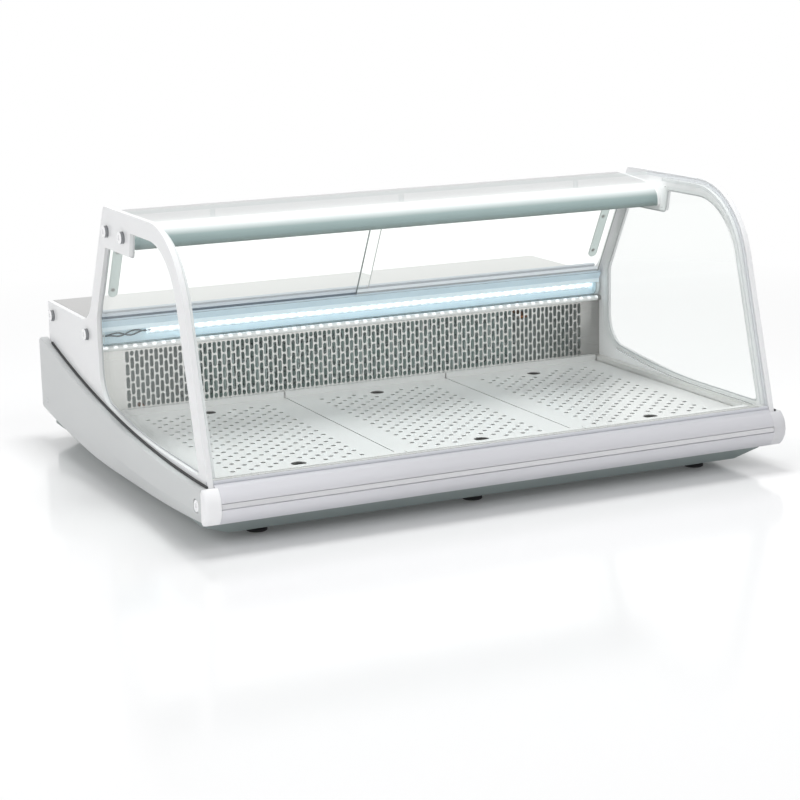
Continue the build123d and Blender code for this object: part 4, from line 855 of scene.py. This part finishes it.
class CASE_OT_glass(bpy.types.Operator):
    """Make the bent front glass, its seals, and polish the edges of the flat panes"""

    bl_idname = "case.glass"
    bl_label = "Glass"

    edge = 0.0004

    def execute(self, context):
        self.front()
        self.sides()
        strip = bent_section(0.0093, 0.0143, 0.106, -0.0872, 24)
        grids = [
            along_x(strip, [s * 0.471, s * 0.4712, s * 0.4778, s * 0.478]) for _, s in SIDES
        ]
        piece(
            "pane_seals", grids, "carcass", "foot_rubber", "white_silicone", ("glass_seals",),
            **CARRIED,
        )
        self.buffers()
        return {"FINISHED"}

    def front(self):
        """The front pane: its bent section carried along X, with cut ends and a ground rear edge."""
        half = FRAME_IN - 0.0005
        section = bent_section(0.003, 0.009, HINGE_Z, GLASS_END)
        stations = [-half, self.edge - half, half - self.edge, half]
        pane = piece(
            "front_pane", [along_x(section, stations)], "front_glass", "clear_glass",
            "clear_glass", ("front_glass",), **CARRIED,
        )
        x, y, _ = face_values(pane.data, "center").T
        rear = np.where(y > GLASS_END - self.edge, 1, 0)
        slots = np.where(np.abs(x) > half - self.edge, 2, rear)
        paint_faces(pane, slots, "ground_edge", "cut_edge")

    def sides(self):
        """The flat side panes: the window's outline, drawn in at both faces for a polished edge."""
        outline = moved_out(window_path(0.008), 0.006)
        stations = ((0.4727, self.edge), (0.4731, 0.0), (0.4773, 0.0), (0.4777, self.edge))
        for side, sign in SIDES:
            faces = [(sign * x, inset) for x, inset in stations]
            piece(
                f"side_pane_{side}", [plate(outline, faces)], "carcass", "clear_glass",
                "side_glass", (f"side_glass_{side}",), **CARRIED,
            )

    def buffers(self):
        """Three soft buttons on the canopy that carry the end of the front glass."""
        profile = [(0.0, 0.4457), (0.0034, 0.4457), (0.004, 0.4451), (0.004, 0.4338), (0.0, 0.4338)]
        grids = [
            revolved(profile, (x, -0.03624, 0.0), (0.0, 0.0, 1.0), 32) for x in (-0.33, 0.0, 0.33)
        ]
        piece(
            "glass_buffers", grids, "carcass", "foot_rubber", "clear_silicone", ("glass_seals",),
            degrees=40, **TURNED,
        )


class CASE_OT_doors(bpy.types.Operator):
    """Polish the sliding doors, their tracks and the pulls on their rear faces"""

    bl_idname = "case.doors"
    bl_label = "Doors"

    def execute(self, context):
        for side, _ in SIDES:
            self.pane(side)
            self.pull(side)
        for level in ("lower", "upper"):
            softened(
                f"{level}_door_track", f"{level}_track", 0.0004,
                "track_aluminium",
            )
        return {"FINISHED"}

    def pane(self, side):
        """A door: its section on the doors' plane, with eased corners, carried along X.

        Its front face carries a faint painted reflection as far as clear_from; what overlaps the other
        door stays clear.
        """
        low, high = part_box(f"door_{side}")
        groove = 0.007 if side == "left" else -0.007
        half, foot, head = 0.0025, -0.0097, 0.1604
        corners = [
            door_point(groove + across, up)
            for across, up in ((-half, foot), (-half, head), (half, head), (half, foot))
        ]
        section = rounded_path(corners, [0.0005] * 4, 6)
        clear_from = -0.008 if side == "left" else high[0] - 0.001
        obj = piece(
            f"door_pane_{side}", [along_x(section, [low[0], clear_from, high[0]])],
            f"door_{side}", "clear_glass", "door_glass", (f"door_{side}",), **CARRIED,
        )
        normal = face_values(obj.data, "normal")
        x = face_values(obj.data, "center")[:, 0]
        front = np.where((normal[:, 1] < -0.85) & (x < clear_from), 2, 0)
        # The ends of both doors are alike: the left door's are painted pale as painted light, the right
        # door's dark as painted shade
        slots = np.where(np.abs(normal[:, 0]) > 0.9, 1, front)
        paint_faces(obj, slots, "painted_lit_door_end" if side == "left" else "painted_shaded_door_end", "door_painted_reflection")
        keep_flat(obj)

    def pull(self, side):
        """A domed pull with rounded ends and two screws.

        The slot outline r(t) is carried from the door's face outwards: full at the face, drawn in by
        a quarter round at the rim, then shrunk to a line at the top, which is domed by its distance
        from that line.
        """
        low, high = (np.array(v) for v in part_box(f"door_handle_{side}"))
        middle = (low + high) / 2
        up = np.array([0.0, -math.sin(DOOR_LEAN), math.cos(DOOR_LEAN)])
        out = np.array([0.0, math.cos(DOOR_LEAN), math.sin(DOOR_LEAN)])
        across = np.array([1.0, 0.0, 0.0])
        t = np.linspace(0, 2 * np.pi, 64, endpoint=False)
        cap, run = 0.008, 0.048
        ring_u = np.cos(t)
        ring_v = np.sin(t)
        levels = [(1.0, -0.002), (1.0, 0.0008), (0.96, 0.0014), (0.88, 0.0018), (0.6, 0.00195),
                  (0.25, 0.002), (0.0, 0.002)]
        rows = [
            middle + across * (cap * s * ring_u)[:, None]
            + up * (cap * s * ring_v + run * np.sign(np.round(ring_v, 6)))[:, None]
            + out * z
            for s, z in levels
        ]
        piece(
            f"pull_{side}", [np.stack(rows)], f"door_{side}", "handle_plastic", "handle_clear",
            (f"door_handle_{side}",), degrees=50, **CARRIED,
        )
        profile = [(0.0, 0.0), (0.0026, 0.0), (0.0032, -0.0004), (0.0034, -0.0012)]
        screws = [
            revolved(profile, middle + up * s + out * 0.0023, out, 24) for s in (-0.043, 0.032)
        ]
        piece(
            f"pull_screws_{side}", screws, f"door_{side}", "screw_steel", "zinc_plate",
            degrees=50, **TURNED,
        )


class CASE_OT_bumper(bpy.types.Operator):
    """Make the bowed bumper with its channel, the inlaid strip, the end caps and the sill rail"""

    bl_idname = "case.bumper"
    bl_label = "Bumper"

    def execute(self, context):
        self.rail_and_strip()
        # One moulding for both caps: the left one painted light, the right one painted shade
        for side, cap in (("left", "painted_lit_cap"), ("right", "painted_shaded_cap")):
            softened(f"bumper_cap_{side}", f"bumper_end_{side}", 0.0006, cap)
        softened(
            "glass_clamp", "sill_rail", 0.0003, "sill_lavender",
            "front_glass",
        )
        self.lip()
        return {"FINISHED"}

    def rail_and_strip(self):
        """The rail: an arc of the bow's radius, sunk by a channel, and the strip that lies in it.

        The channel's walls ease over a fraction of a millimetre, as a product of two steps
        1 / (1 + exp(-d / ease)) of the distance d to each wall.
        """
        nose, rear, middle, half, bulge = -0.425, -0.378, 0.069, 0.027, 0.013
        channel_foot, channel_top, channel_depth, ease = 0.066, 0.075, 0.0022, 0.00015
        radius = (half**2 + bulge**2) / (2 * bulge)
        centre = nose + radius
        reach = math.asin(half / radius)
        turn = np.linspace(reach, -reach, 240)
        height = middle + radius * np.sin(turn)
        above = 1 / (1 + np.exp(-(height - channel_foot) / ease))
        below = 1 / (1 + np.exp((height - channel_top) / ease))
        sunk = radius - channel_depth * above * below
        bow = np.stack([centre - sunk * np.cos(turn), height], axis=-1)
        section = np.concatenate([bow, [(rear, middle - half), (rear, middle + half)]])
        piece(
            "bumper_rail", [along_x(section, [-0.474, -0.4736, 0.4736, 0.474])], "carcass",
            "bumper_silver", "lavender_aluminium", ("front_bumper",), degrees=40, **CARRIED,
        )
        gap = sizes().strip_gap
        edges = [math.asin((z - middle) / radius) for z in (0.0754 - gap, 0.0664 + gap)]
        turn = np.linspace(*edges, 24)
        face = np.stack(
            [centre - (radius - 0.0003) * np.cos(turn), middle + radius * np.sin(turn)], axis=-1
        )
        strip = np.concatenate([face, face[::-1] + np.array([0.0018, 0.0])])
        piece(
            "inlaid_strip", [along_x(strip, [-0.4735, 0.4735])], "carcass", "insert_grey",
            "strip_grey", ("bumper_insert",), degrees=40, **CARRIED,
        )

    def lip(self):
        """A low lip on the bumper: a slope up to the sill rail, hollowed round it by a small gap."""
        turn = np.linspace(math.radians(195.5), math.radians(261.5), 14)
        radius = 0.00485
        hollow = np.stack(
            [HINGE_Y + radius * np.cos(turn), HINGE_Z + radius * np.sin(turn)], axis=-1
        )
        foot = np.array([(-0.3991, 0.0958), (-0.4095, 0.0958), (-0.4095, 0.0961), (-0.4034, 0.0996)])
        section = np.concatenate([hollow, foot])
        piece(
            "bumper_lip", [along_x(section, [-0.4776, 0.4776])], "carcass", "bumper_silver",
            "lavender_aluminium", degrees=30, **CARRIED,
        )


class CASE_OT_panels(bpy.types.Operator):
    """Mould the side panels with their crease and recesses, and finish their gaskets"""

    bl_idname = "case.panels"
    bl_label = "Side panels"

    front = -0.4075
    rear = 0.425
    inner = 0.4873
    outer = 0.5
    # Shares of the grid's length at which the rear corner's quarter round starts and ends
    turn_from = 0.9
    turn_to = 0.96

    def execute(self, context):
        for side, sign in SIDES:
            grid = self.surface() * np.array([sign, 1.0, 1.0])
            piece(
                f"side_cover_{side}", [grid], "carcass", "panel_silver", "silver_moulding",
                (f"side_panel_{side}",), back=True,
            )
        paint_solids({"panel_seals": "seal_grey"})
        return {"FINISHED"}

    def edge_line(self, ends, sag_point, corner, stations):
        """One long edge: an arc along the panel, a quarter round at the rear, then half the rear edge.

        The quarter round starts on the arc, one corner radius before the rear, and is drawn as the
        quadratic curve that leaves along the arc and arrives along the rear edge.
        """
        centre, radius = arc_through(ends[0], sag_point, ends[1])
        bend = np.sign(ends[0][1] - centre[1])
        y = np.interp(stations, [0, self.turn_from], [self.front, self.rear - corner])
        z = centre[1] + bend * np.sqrt(radius**2 - (y - centre[0]) ** 2)
        line = np.stack([y, z], axis=-1)
        begin = line[stations >= self.turn_from][0]
        tip = np.array(ends[1])
        middle = np.array([self.rear, 0.1215])
        finish_point = tip + (middle - tip) * corner / np.linalg.norm(middle - tip)
        t = np.clip((stations - self.turn_from) / (self.turn_to - self.turn_from), 0, 1)[:, None]
        turn = (1 - t) ** 2 * begin + 2 * t * (1 - t) * tip + t**2 * finish_point
        s = np.clip((stations - self.turn_to) / (1 - self.turn_to), 0, 1)[:, None]
        closing = finish_point + (middle - finish_point) * s
        far = stations[:, None]
        return np.where(far <= self.turn_from, line, np.where(far <= self.turn_to, turn, closing))

    def surface(self):
        """The moulded face: straight lines between the two long edges, pressed in along X.

        The face falls away by a quarter round at its rim, leans in below a crease that dies out
        towards the middle, and dips into round seats for the bolt and the screw.
        """
        spans = ((0, 0.055, 70), (0.055, 0.84, 90), (0.84, self.turn_from, 34),
                 (self.turn_from, self.turn_to, 16), (self.turn_to, 1.0, 12))
        along = np.concatenate([[0.0], *(np.linspace(*span)[1:] for span in spans)])
        across = np.linspace(0, 1, 121)
        top = self.edge_line(((self.front, 0.096), (self.rear, 0.187)), (0.00875, 0.1135), 0.02, along)
        foot = self.edge_line(((self.front, 0.042), (self.rear, 0.056)), (0.00875, 0.027), 0.008, along)
        v = across[None, :, None]
        yz = foot[:, None] * (1 - v) + top[:, None] * v
        y = yz[..., 0]
        z = yz[..., 1]
        height = np.linalg.norm(top - foot, axis=1)[:, None]
        margin = np.minimum(across * height, (1 - across) * height)
        margin = np.minimum(np.minimum(margin, y - self.front), self.rear - y)
        rim = 0.0025
        short = np.clip(1 - margin / rim, 0, 1)
        fall = rim * (1 - np.sqrt(1 - short**2))
        crease = 0.34
        fade = 1 - eased(y, -0.12, 0.14)
        lean = 0.007 * fade * np.clip(crease - across, 0, 1) / crease
        bolt = 0.0062 * (1 - eased(np.hypot(y + 0.386, z - 0.067), 0.0099, 0.0109))
        screw = 0.0024 * (1 - eased(np.hypot(y - 0.392, z - 0.074), 0.0040, 0.0046))
        x = self.outer - fall - lean - np.maximum(bolt, screw)
        face = np.concatenate([x[..., None], yz], axis=-1)
        wall = face.copy()
        wall[..., 0] = self.inner
        face = np.concatenate([wall[:, :1], face, wall[:, -1:]], axis=1)
        lead = face[:1].copy()
        lead[..., 0] = self.inner
        return np.concatenate([lead, face], axis=0)


class CASE_OT_canopy(bpy.types.Operator):
    """Draw the canopy's section with its round nose, and round its end pieces"""

    bl_idname = "case.canopy"
    bl_label = "Canopy"

    def execute(self, context):
        front, rear, top, bottom = -0.07524, 0.06476, 0.443, 0.396
        corners = [
            (front, top - 0.012),
            (rear, top),
            door_point(0.015, 0.168),
            door_point(-0.015, 0.168),
            door_point(-0.015, 0.16152),
            (front + 0.004, bottom),
        ]
        section = rounded_path(corners, [0.030, 0.0012, 0.0004, 0.0004, 0.0004, 0.003], 32)
        half = 0.4724
        stations = [-half, 0.001 - half, half - 0.001, half]
        piece(
            "canopy_box", [along_x(section, stations)], "carcass", "canopy_grey", "canopy_with_painted_light",
            ("canopy",), **CARRIED,
        )
        softened("canopy_end_caps", "canopy_ends", 0.0005, "white_powder_coat")
        return {"FINISHED"}


class CASE_OT_lamp(bpy.types.Operator):
    """Finish the lamp's rail and cover, light its diodes and lay its two wires"""

    bl_idname = "case.lamp"
    bl_label = "Lamp"

    def execute(self, context):
        softened("lamp_rail", "lamp_back", 0.0004, "lamp_aluminium")
        paint_solids({
            "lamp_cover": "lamp_clear",
            "lamp_end_caps": "lamp_cap",
            "led_board": "board_white",
            "led_diodes": "diode_glow",
        })
        self.glow()
        # Two wires cross in lazy waves from the end cap to the board
        t = np.linspace(0, 1, 80)
        x = -0.4630 + 0.080 * t
        wires = []
        for phase in (0.0, 2.4):
            y = 0.1368 + 0.0016 * np.cos(9 * t + phase)
            z = 0.2265 + 0.0042 * np.sin(8 * t + phase) * np.sin(np.pi * t) + 0.003 * t
            wires.append(tube(np.stack([x, y, z], axis=-1), sizes().lead_radius))
        piece(
            "lamp_wires", wires, "carcass", "foot_rubber", "lead_sheath", degrees=60, **CARRIED
        )
        return {"FINISHED"}

    def glow(self):
        """A film just in front of the diodes that spreads their light along the cover."""
        x = np.linspace(-0.392, 0.463, 120)
        z = np.linspace(0.2165, 0.2353, 17)
        u, w = np.meshgrid(x, z, indexing="ij")
        y = 0.1362 - 0.0012 * (1 - ((w - 0.229) / 0.0125) ** 2)
        film = np.stack([u, y, w], axis=-1)
        piece("glow_film", [film], "carcass", "lamp_clear", "lamp_glow")


class CASE_OT_well(bpy.types.Operator):
    """Finish the slotted grille, the well, the deck plates and the drain"""

    bl_idname = "case.well"
    bl_label = "Well and grille"

    def execute(self, context):
        paint_solids({
            "grille_panel": "grille_steel",
            "well_liner": "stainless_sheet",
            "deck_plates": "deck_steel",
            "drain_fitting": "drain_white",
            "foam_insulation": "rigid_foam",
            "partition_wall": "duct_grey",
        })
        # The rolled lip under the lamp, polished, with a painted glint for each diode: most of a circle
        # carried along X
        angle = np.linspace(math.radians(-60), math.radians(240), 33)
        radius = 0.005
        section = np.stack([0.133 + radius * np.cos(angle), 0.2052 + radius * np.sin(angle)], -1)
        piece(
            "rolled_lip", [along_x(section, [-0.4705, 0.4705])], "carcass", "stainless",
            "steel_with_painted_glints", **CARRIED,
        )
        return {"FINISHED"}


class CASE_OT_housing(bpy.types.Operator):
    """Round the worktop and press louvres over the rear cover's vents"""

    bl_idname = "case.housing"
    bl_label = "Rear housing"

    def execute(self, context):
        softened("rear_worktop", "worktop", 0.0010, "worktop_steel")
        paint_solids({"rear_cover": "worktop_steel", "cover_screws": "zinc_plate"})
        # A hood: a long half ellipse, highest at its lower lip and closed at its upper edge
        u, v = np.meshgrid(np.linspace(0, 1, 21), np.linspace(0, 1, 9), indexing="ij")
        bow = np.sqrt(np.maximum(1 - (2 * u - 1) ** 6, 0))
        rise = sizes().louvre_height * bow * np.cos(v * np.pi / 2)
        hood = np.stack([0.064 * (u - 0.5), rise, 0.0045 * (2 * v - 1)], axis=-1)
        columns = np.array([-0.225, 0.230])[:, None] + 0.072 * np.arange(-1, 2)
        x, z = np.meshgrid(columns.ravel(), 0.082 + 0.012 * np.arange(9), indexing="ij")
        centres = np.stack([x.ravel(), np.full(x.size, 0.3979), z.ravel()], axis=-1)
        obj = piece(
            "vent_louvres", list(centres[:, None, None] + hood), "carcass", "worktop_steel",
            "worktop_steel", degrees=50,
        )
        wall = obj.modifiers.new("wall", "SOLIDIFY")
        wall.thickness = 0.0006
        return {"FINISHED"}


class CASE_OT_fasteners(bpy.types.Operator):
    """Turn the chrome cap-head bolts with their hex sockets"""

    bl_idname = "case.fasteners"
    bl_label = "Bolts"

    def execute(self, context):
        rim = sizes().bolt_round
        head, height = 0.0095, 0.007
        arc = np.linspace(0, np.pi / 2, 7)
        corner = np.stack([head - rim + rim * np.cos(arc), height - rim + rim * np.sin(arc)], -1)
        crown = np.concatenate([corner, [(0.0057, height)]])
        socket = np.array([(0.0048, 0.0068), (0.0048, 0.0055), (0.0, 0.0055)])
        # The collar, a thin washer and the head's side wall, in dark steel: painted shade round the
        # chrome crown
        collar = [
            (0.004, 0.0), (0.0097, 0.0), (0.0097, 0.0009), (0.0092, 0.0011), (0.0092, 0.0015),
            (head, 0.0017), (head, height - rim),
        ]

        def hexagon(angle):
            """A hexagon's radius by angle, for a unit distance to its corners."""
            return math.cos(np.pi / 6) / np.cos((angle + np.pi / 6) % (np.pi / 3) - np.pi / 6)

        spots = [(-0.0607, 0.416), (0.0213, 0.416), (0.162, 0.228), (0.367, 0.228)]
        seats = [(FRAME_OUT, y, z) for y, z in spots] + [(0.493, -0.386, 0.067)]
        crowns = []
        collars = []
        for _, sign in SIDES:
            axis = (sign, 0.0, 0.0)
            for x, y, z in seats:
                centre = (sign * x, y, z)
                top = revolved(crown, centre, axis, 48)
                hollow = revolved(socket, centre, axis, 48, hexagon)
                crowns.append(np.concatenate([top, hollow]))
                collars.append(revolved(collar, centre, axis, 48))
        for name, grids, material in (
            ("bolt_crowns", crowns, "polished_chrome"),
            ("bolt_collars", collars, "painted_shade_steel"),
        ):
            piece(
                name, grids, "carcass", "fastener_chrome", material, ("chrome_bolts",),
                degrees=40, **TURNED,
            )
        return {"FINISHED"}


class CASE_OT_base(bpy.types.Operator):
    """Round the base tub and turn the levelling feet"""

    bl_idname = "case.base"
    bl_label = "Base and feet"

    def execute(self, context):
        softened("base_tub", "base", 0.0012, "base_moulding")
        paint_solids({"foot_studs": "zinc_plate"})
        profile = [
            (0.0, 0.0), (0.0145, 0.0), (0.0158, 0.0008), (0.016, 0.002), (0.0156, 0.0026),
            (0.016, 0.0032), (0.0152, 0.0044), (0.0136, 0.0056), (0.011, 0.006), (0.0, 0.006),
        ]
        grids = [
            revolved(profile, (x, y, 0.0), (0.0, 0.0, 1.0))
            for y in (-0.326, 0.348)
            for x in (-0.385, -0.024, 0.385)
        ]
        piece(
            "rubber_feet", grids, "carcass", "foot_rubber", "rubber_black", ("foot_pads",),
            degrees=40, **TURNED,
        )
        return {"FINISHED"}


class CASE_OT_controls(bpy.types.Operator):
    """Finish the controller, its keys and window, the inlet and the rocker"""

    bl_idname = "case.controls"
    bl_label = "Controls"

    def execute(self, context):
        softened("controller", "thermostat", 0.0005, "black_moulding")
        for key in ("set", "up", "down"):
            node = f"button_{key}"
            softened(node, f"key_{key}", 0.0005, "key_grey", node)
        softened("power_inlet", "inlet", 0.0004, "black_moulding")
        softened(
            "switch_rocker", "rocker", 0.0004, "key_grey", "switch_rocker"
        )
        left, right, foot, head = -0.0325, 0.0005, 0.1822, 0.1978
        corners = [(left, foot), (right, foot), (right, head), (left, head)]
        outline = rounded_path(corners, [0.001] * 4, 8)
        rows = [
            np.stack([outline[:, 0], np.full(len(outline), y), outline[:, 1]], axis=-1)
            for y in (0.4026, 0.4034)
        ]
        piece(
            "display_window", [np.stack(rows)], "carcass", "control_black", "display_glass",
            degrees=40, **CARRIED,
        )
        return {"FINISHED"}


class CASE_OT_machine(bpy.types.Operator):
    """Finish the cooling unit behind the grille"""

    bl_idname = "case.machine"
    bl_label = "Cooling unit"

    def execute(self, context):
        paint_solids({
            "machine_base": "worktop_steel",
            "condenser_shroud": "worktop_steel",
            "evaporator_fins": "coated_fin",
            "condenser_fins": "mill_fin",
            "evaporator_coil": "coated_pipe",
            "condenser_coil": "drawn_copper",
            "refrigerant_pipes": "drawn_copper",
            "filter_drier": "drawn_copper",
            "fan_motors": "motor_enamel",
            "evaporator_fan_left": "black_moulding",
            "evaporator_fan_right": "black_moulding",
            "condenser_fan": "black_moulding",
            "compressor": "compressor_enamel",
            "led_driver": "black_moulding",
        })
        return {"FINISHED"}


def seen_rays(tree):
    """1 for a ray from the camera, off a gloss or through glass, which shows the white backdrop."""
    rays = add(tree, "LightPath", {}).outputs
    first = maths(tree, "MAXIMUM", rays["Is Camera Ray"], rays["Is Glossy Ray"])
    return maths(tree, "MAXIMUM", first, rays["Is Transmission Ray"])


class CASE_OT_stage(bpy.types.Operator):
    """Lay a pale floor and set the soft lights and the camera"""

    bl_idname = "case.stage"
    bl_label = "Stage"

    def execute(self, context):
        self.floor()
        self.lights()
        self.world()
        self.camera()
        context.scene.view_settings.view_transform = "Standard"
        return {"FINISHED"}

    def floor(self):
        """A wide floor that keeps the case's shadow and fades to white far off."""
        u, v = np.meshgrid(np.linspace(-40, 40, 9), np.linspace(-40, 40, 9), indexing="ij")
        mesh = grid_mesh("floor", [np.stack([u, v, np.full_like(u, -0.0001)], axis=-1)])
        obj = bpy.data.objects.new("floor", mesh)
        bpy.context.scene.collection.objects.link(obj)
        material, tree, shader = bare("pale_floor")
        feed(tree, shader, {"Base Color": (0.90, 0.90, 0.90), "Roughness": 0.12})
        glowing(material, (1.0, 1.0, 1.0), 0.05)
        distance = add(tree, "VectorMath", {0: own_place(tree)}, operation="LENGTH")
        fade = ranged(tree, distance.outputs["Value"], 0.8, 2.2)
        white = add(tree, "Emission", {"Strength": 1.0})
        far = maths(tree, "MULTIPLY", fade, seen_rays(tree))
        show_mix(tree, far, shader.outputs["BSDF"], white.outputs["Emission"])
        mesh.materials.append(material)

    def lights(self):
        """A soft light overhead, a key from the front right, and faint fills left and behind."""
        aim = np.array([0.0, 0.0, 0.2])
        # Name, place, width of the lit square, power in watts
        for name, spot, size, power in (
            ("top_light", (0.1, 0.2, 3.0), 1.2, 46.0),
            ("key_light", (0.9, -2.6, 2.6), 2.0, 30.0),
            ("left_fill", (-2.6, -0.8, 1.5), 1.8, 20.0),
            ("rear_fill", (0.4, 2.8, 1.6), 1.8, 10.0),
        ):
            lamp = bpy.data.lights.new(name, "AREA")
            lamp.size = size
            lamp.energy = power
            obj = bpy.data.objects.new(name, lamp)
            obj.visible_glossy = False
            obj.visible_transmission = False
            bpy.context.scene.collection.objects.link(obj)
            ahead = aim - np.asarray(spot)
            ahead = ahead / np.linalg.norm(ahead)
            right = np.cross(ahead, [0.0, 1.0, 0.0] if abs(ahead[2]) > 0.9 else [0.0, 0.0, 1.0])
            right /= np.linalg.norm(right)
            self.turn(obj, right, ahead, spot)

    def world(self):
        """A pale world that lights the case softly and is seen as white."""
        world = bpy.data.worlds.new("pale_world")
        bpy.context.scene.world = world
        world.use_nodes = True
        tree = world.node_tree
        tree.nodes.clear()
        lit = add(tree, "Background", {"Color": (0.97, 0.98, 1.0), "Strength": 0.38})
        seen = add(tree, "Background", {"Color": (1.0, 1.0, 1.0)})
        mix = add(tree, "MixShader", {
            "Fac": seen_rays(tree),
            1: lit.outputs["Background"],
            2: seen.outputs["Background"],
        })
        add(tree, "OutputWorld", {"Surface": mix.outputs["Shader"]})

    def camera(self):
        """The photograph's view: 93 mm lens, from the front left and above."""
        yaw, pitch, roll = (math.radians(a) for a in (24.854, 12.586, -1.267))
        sensor, focal_pixels, image_pixels = 36.0, 2070.8, 800.0
        ahead = np.array([
            math.sin(yaw) * math.cos(pitch), math.cos(yaw) * math.cos(pitch), -math.sin(pitch)
        ])
        right = np.array([math.cos(yaw), -math.sin(yaw), 0.0])
        level = right * math.cos(roll) + np.cross(right, ahead) * math.sin(roll)
        lens = bpy.data.cameras.new("view")
        lens.lens = sensor * focal_pixels / image_pixels
        lens.clip_end = 120.0
        obj = bpy.data.objects.new("view", lens)
        bpy.context.scene.collection.objects.link(obj)
        self.turn(obj, level, ahead, (-1.4388, -3.1199, 0.8587))
        bpy.context.scene.camera = obj

    def turn(self, obj, right, ahead, spot):
        """Set a lamp or camera at a spot, looking along its own -Z."""
        rows = np.eye(4)
        rows[:3, :3] = np.stack([right, np.cross(right, ahead), -ahead], axis=1)
        rows[:3, 3] = spot
        obj.matrix_world = Matrix(rows.tolist())


class CASE_PT_panel(bpy.types.Panel):
    """Sidebar list of the case's sizes, colours and pieces"""

    bl_idname = "CASE_PT_panel"
    bl_label = "Display case"
    bl_space_type = "VIEW_3D"
    bl_region_type = "UI"
    bl_category = "Display case"

    def draw(self, context):
        for group in (context.scene.case_sizes, context.scene.case_colours):
            box = self.layout.box()
            for name in group.__annotations__:
                box.prop(group, name)
        for operator in OPERATORS:
            self.layout.operator(operator.bl_idname)


OPERATORS = (
    CASE_OT_stage,
    CASE_OT_frames,
    CASE_OT_glass,
    CASE_OT_doors,
    CASE_OT_bumper,
    CASE_OT_panels,
    CASE_OT_canopy,
    CASE_OT_lamp,
    CASE_OT_well,
    CASE_OT_housing,
    CASE_OT_fasteners,
    CASE_OT_base,
    CASE_OT_controls,
    CASE_OT_machine,
)
CLASSES = (CaseSizes, CaseColours, *OPERATORS, CASE_PT_panel)


def register():
    """Add the classes and the scene's settings."""
    for item in CLASSES:
        bpy.utils.register_class(item)
    bpy.types.Scene.case_sizes = bpy.props.PointerProperty(type=CaseSizes)
    bpy.types.Scene.case_colours = bpy.props.PointerProperty(type=CaseColours)


def unregister():
    """Take them away again."""
    del bpy.types.Scene.case_colours
    del bpy.types.Scene.case_sizes
    for item in reversed(CLASSES):
        bpy.utils.unregister_class(item)


def main():
    """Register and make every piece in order."""
    register()
    make_groups()
    make_materials()
    for operator in OPERATORS:
        group, call = operator.bl_idname.split(".")
        getattr(getattr(bpy.ops, group), call)()


if __name__ == "__main__":
    main()
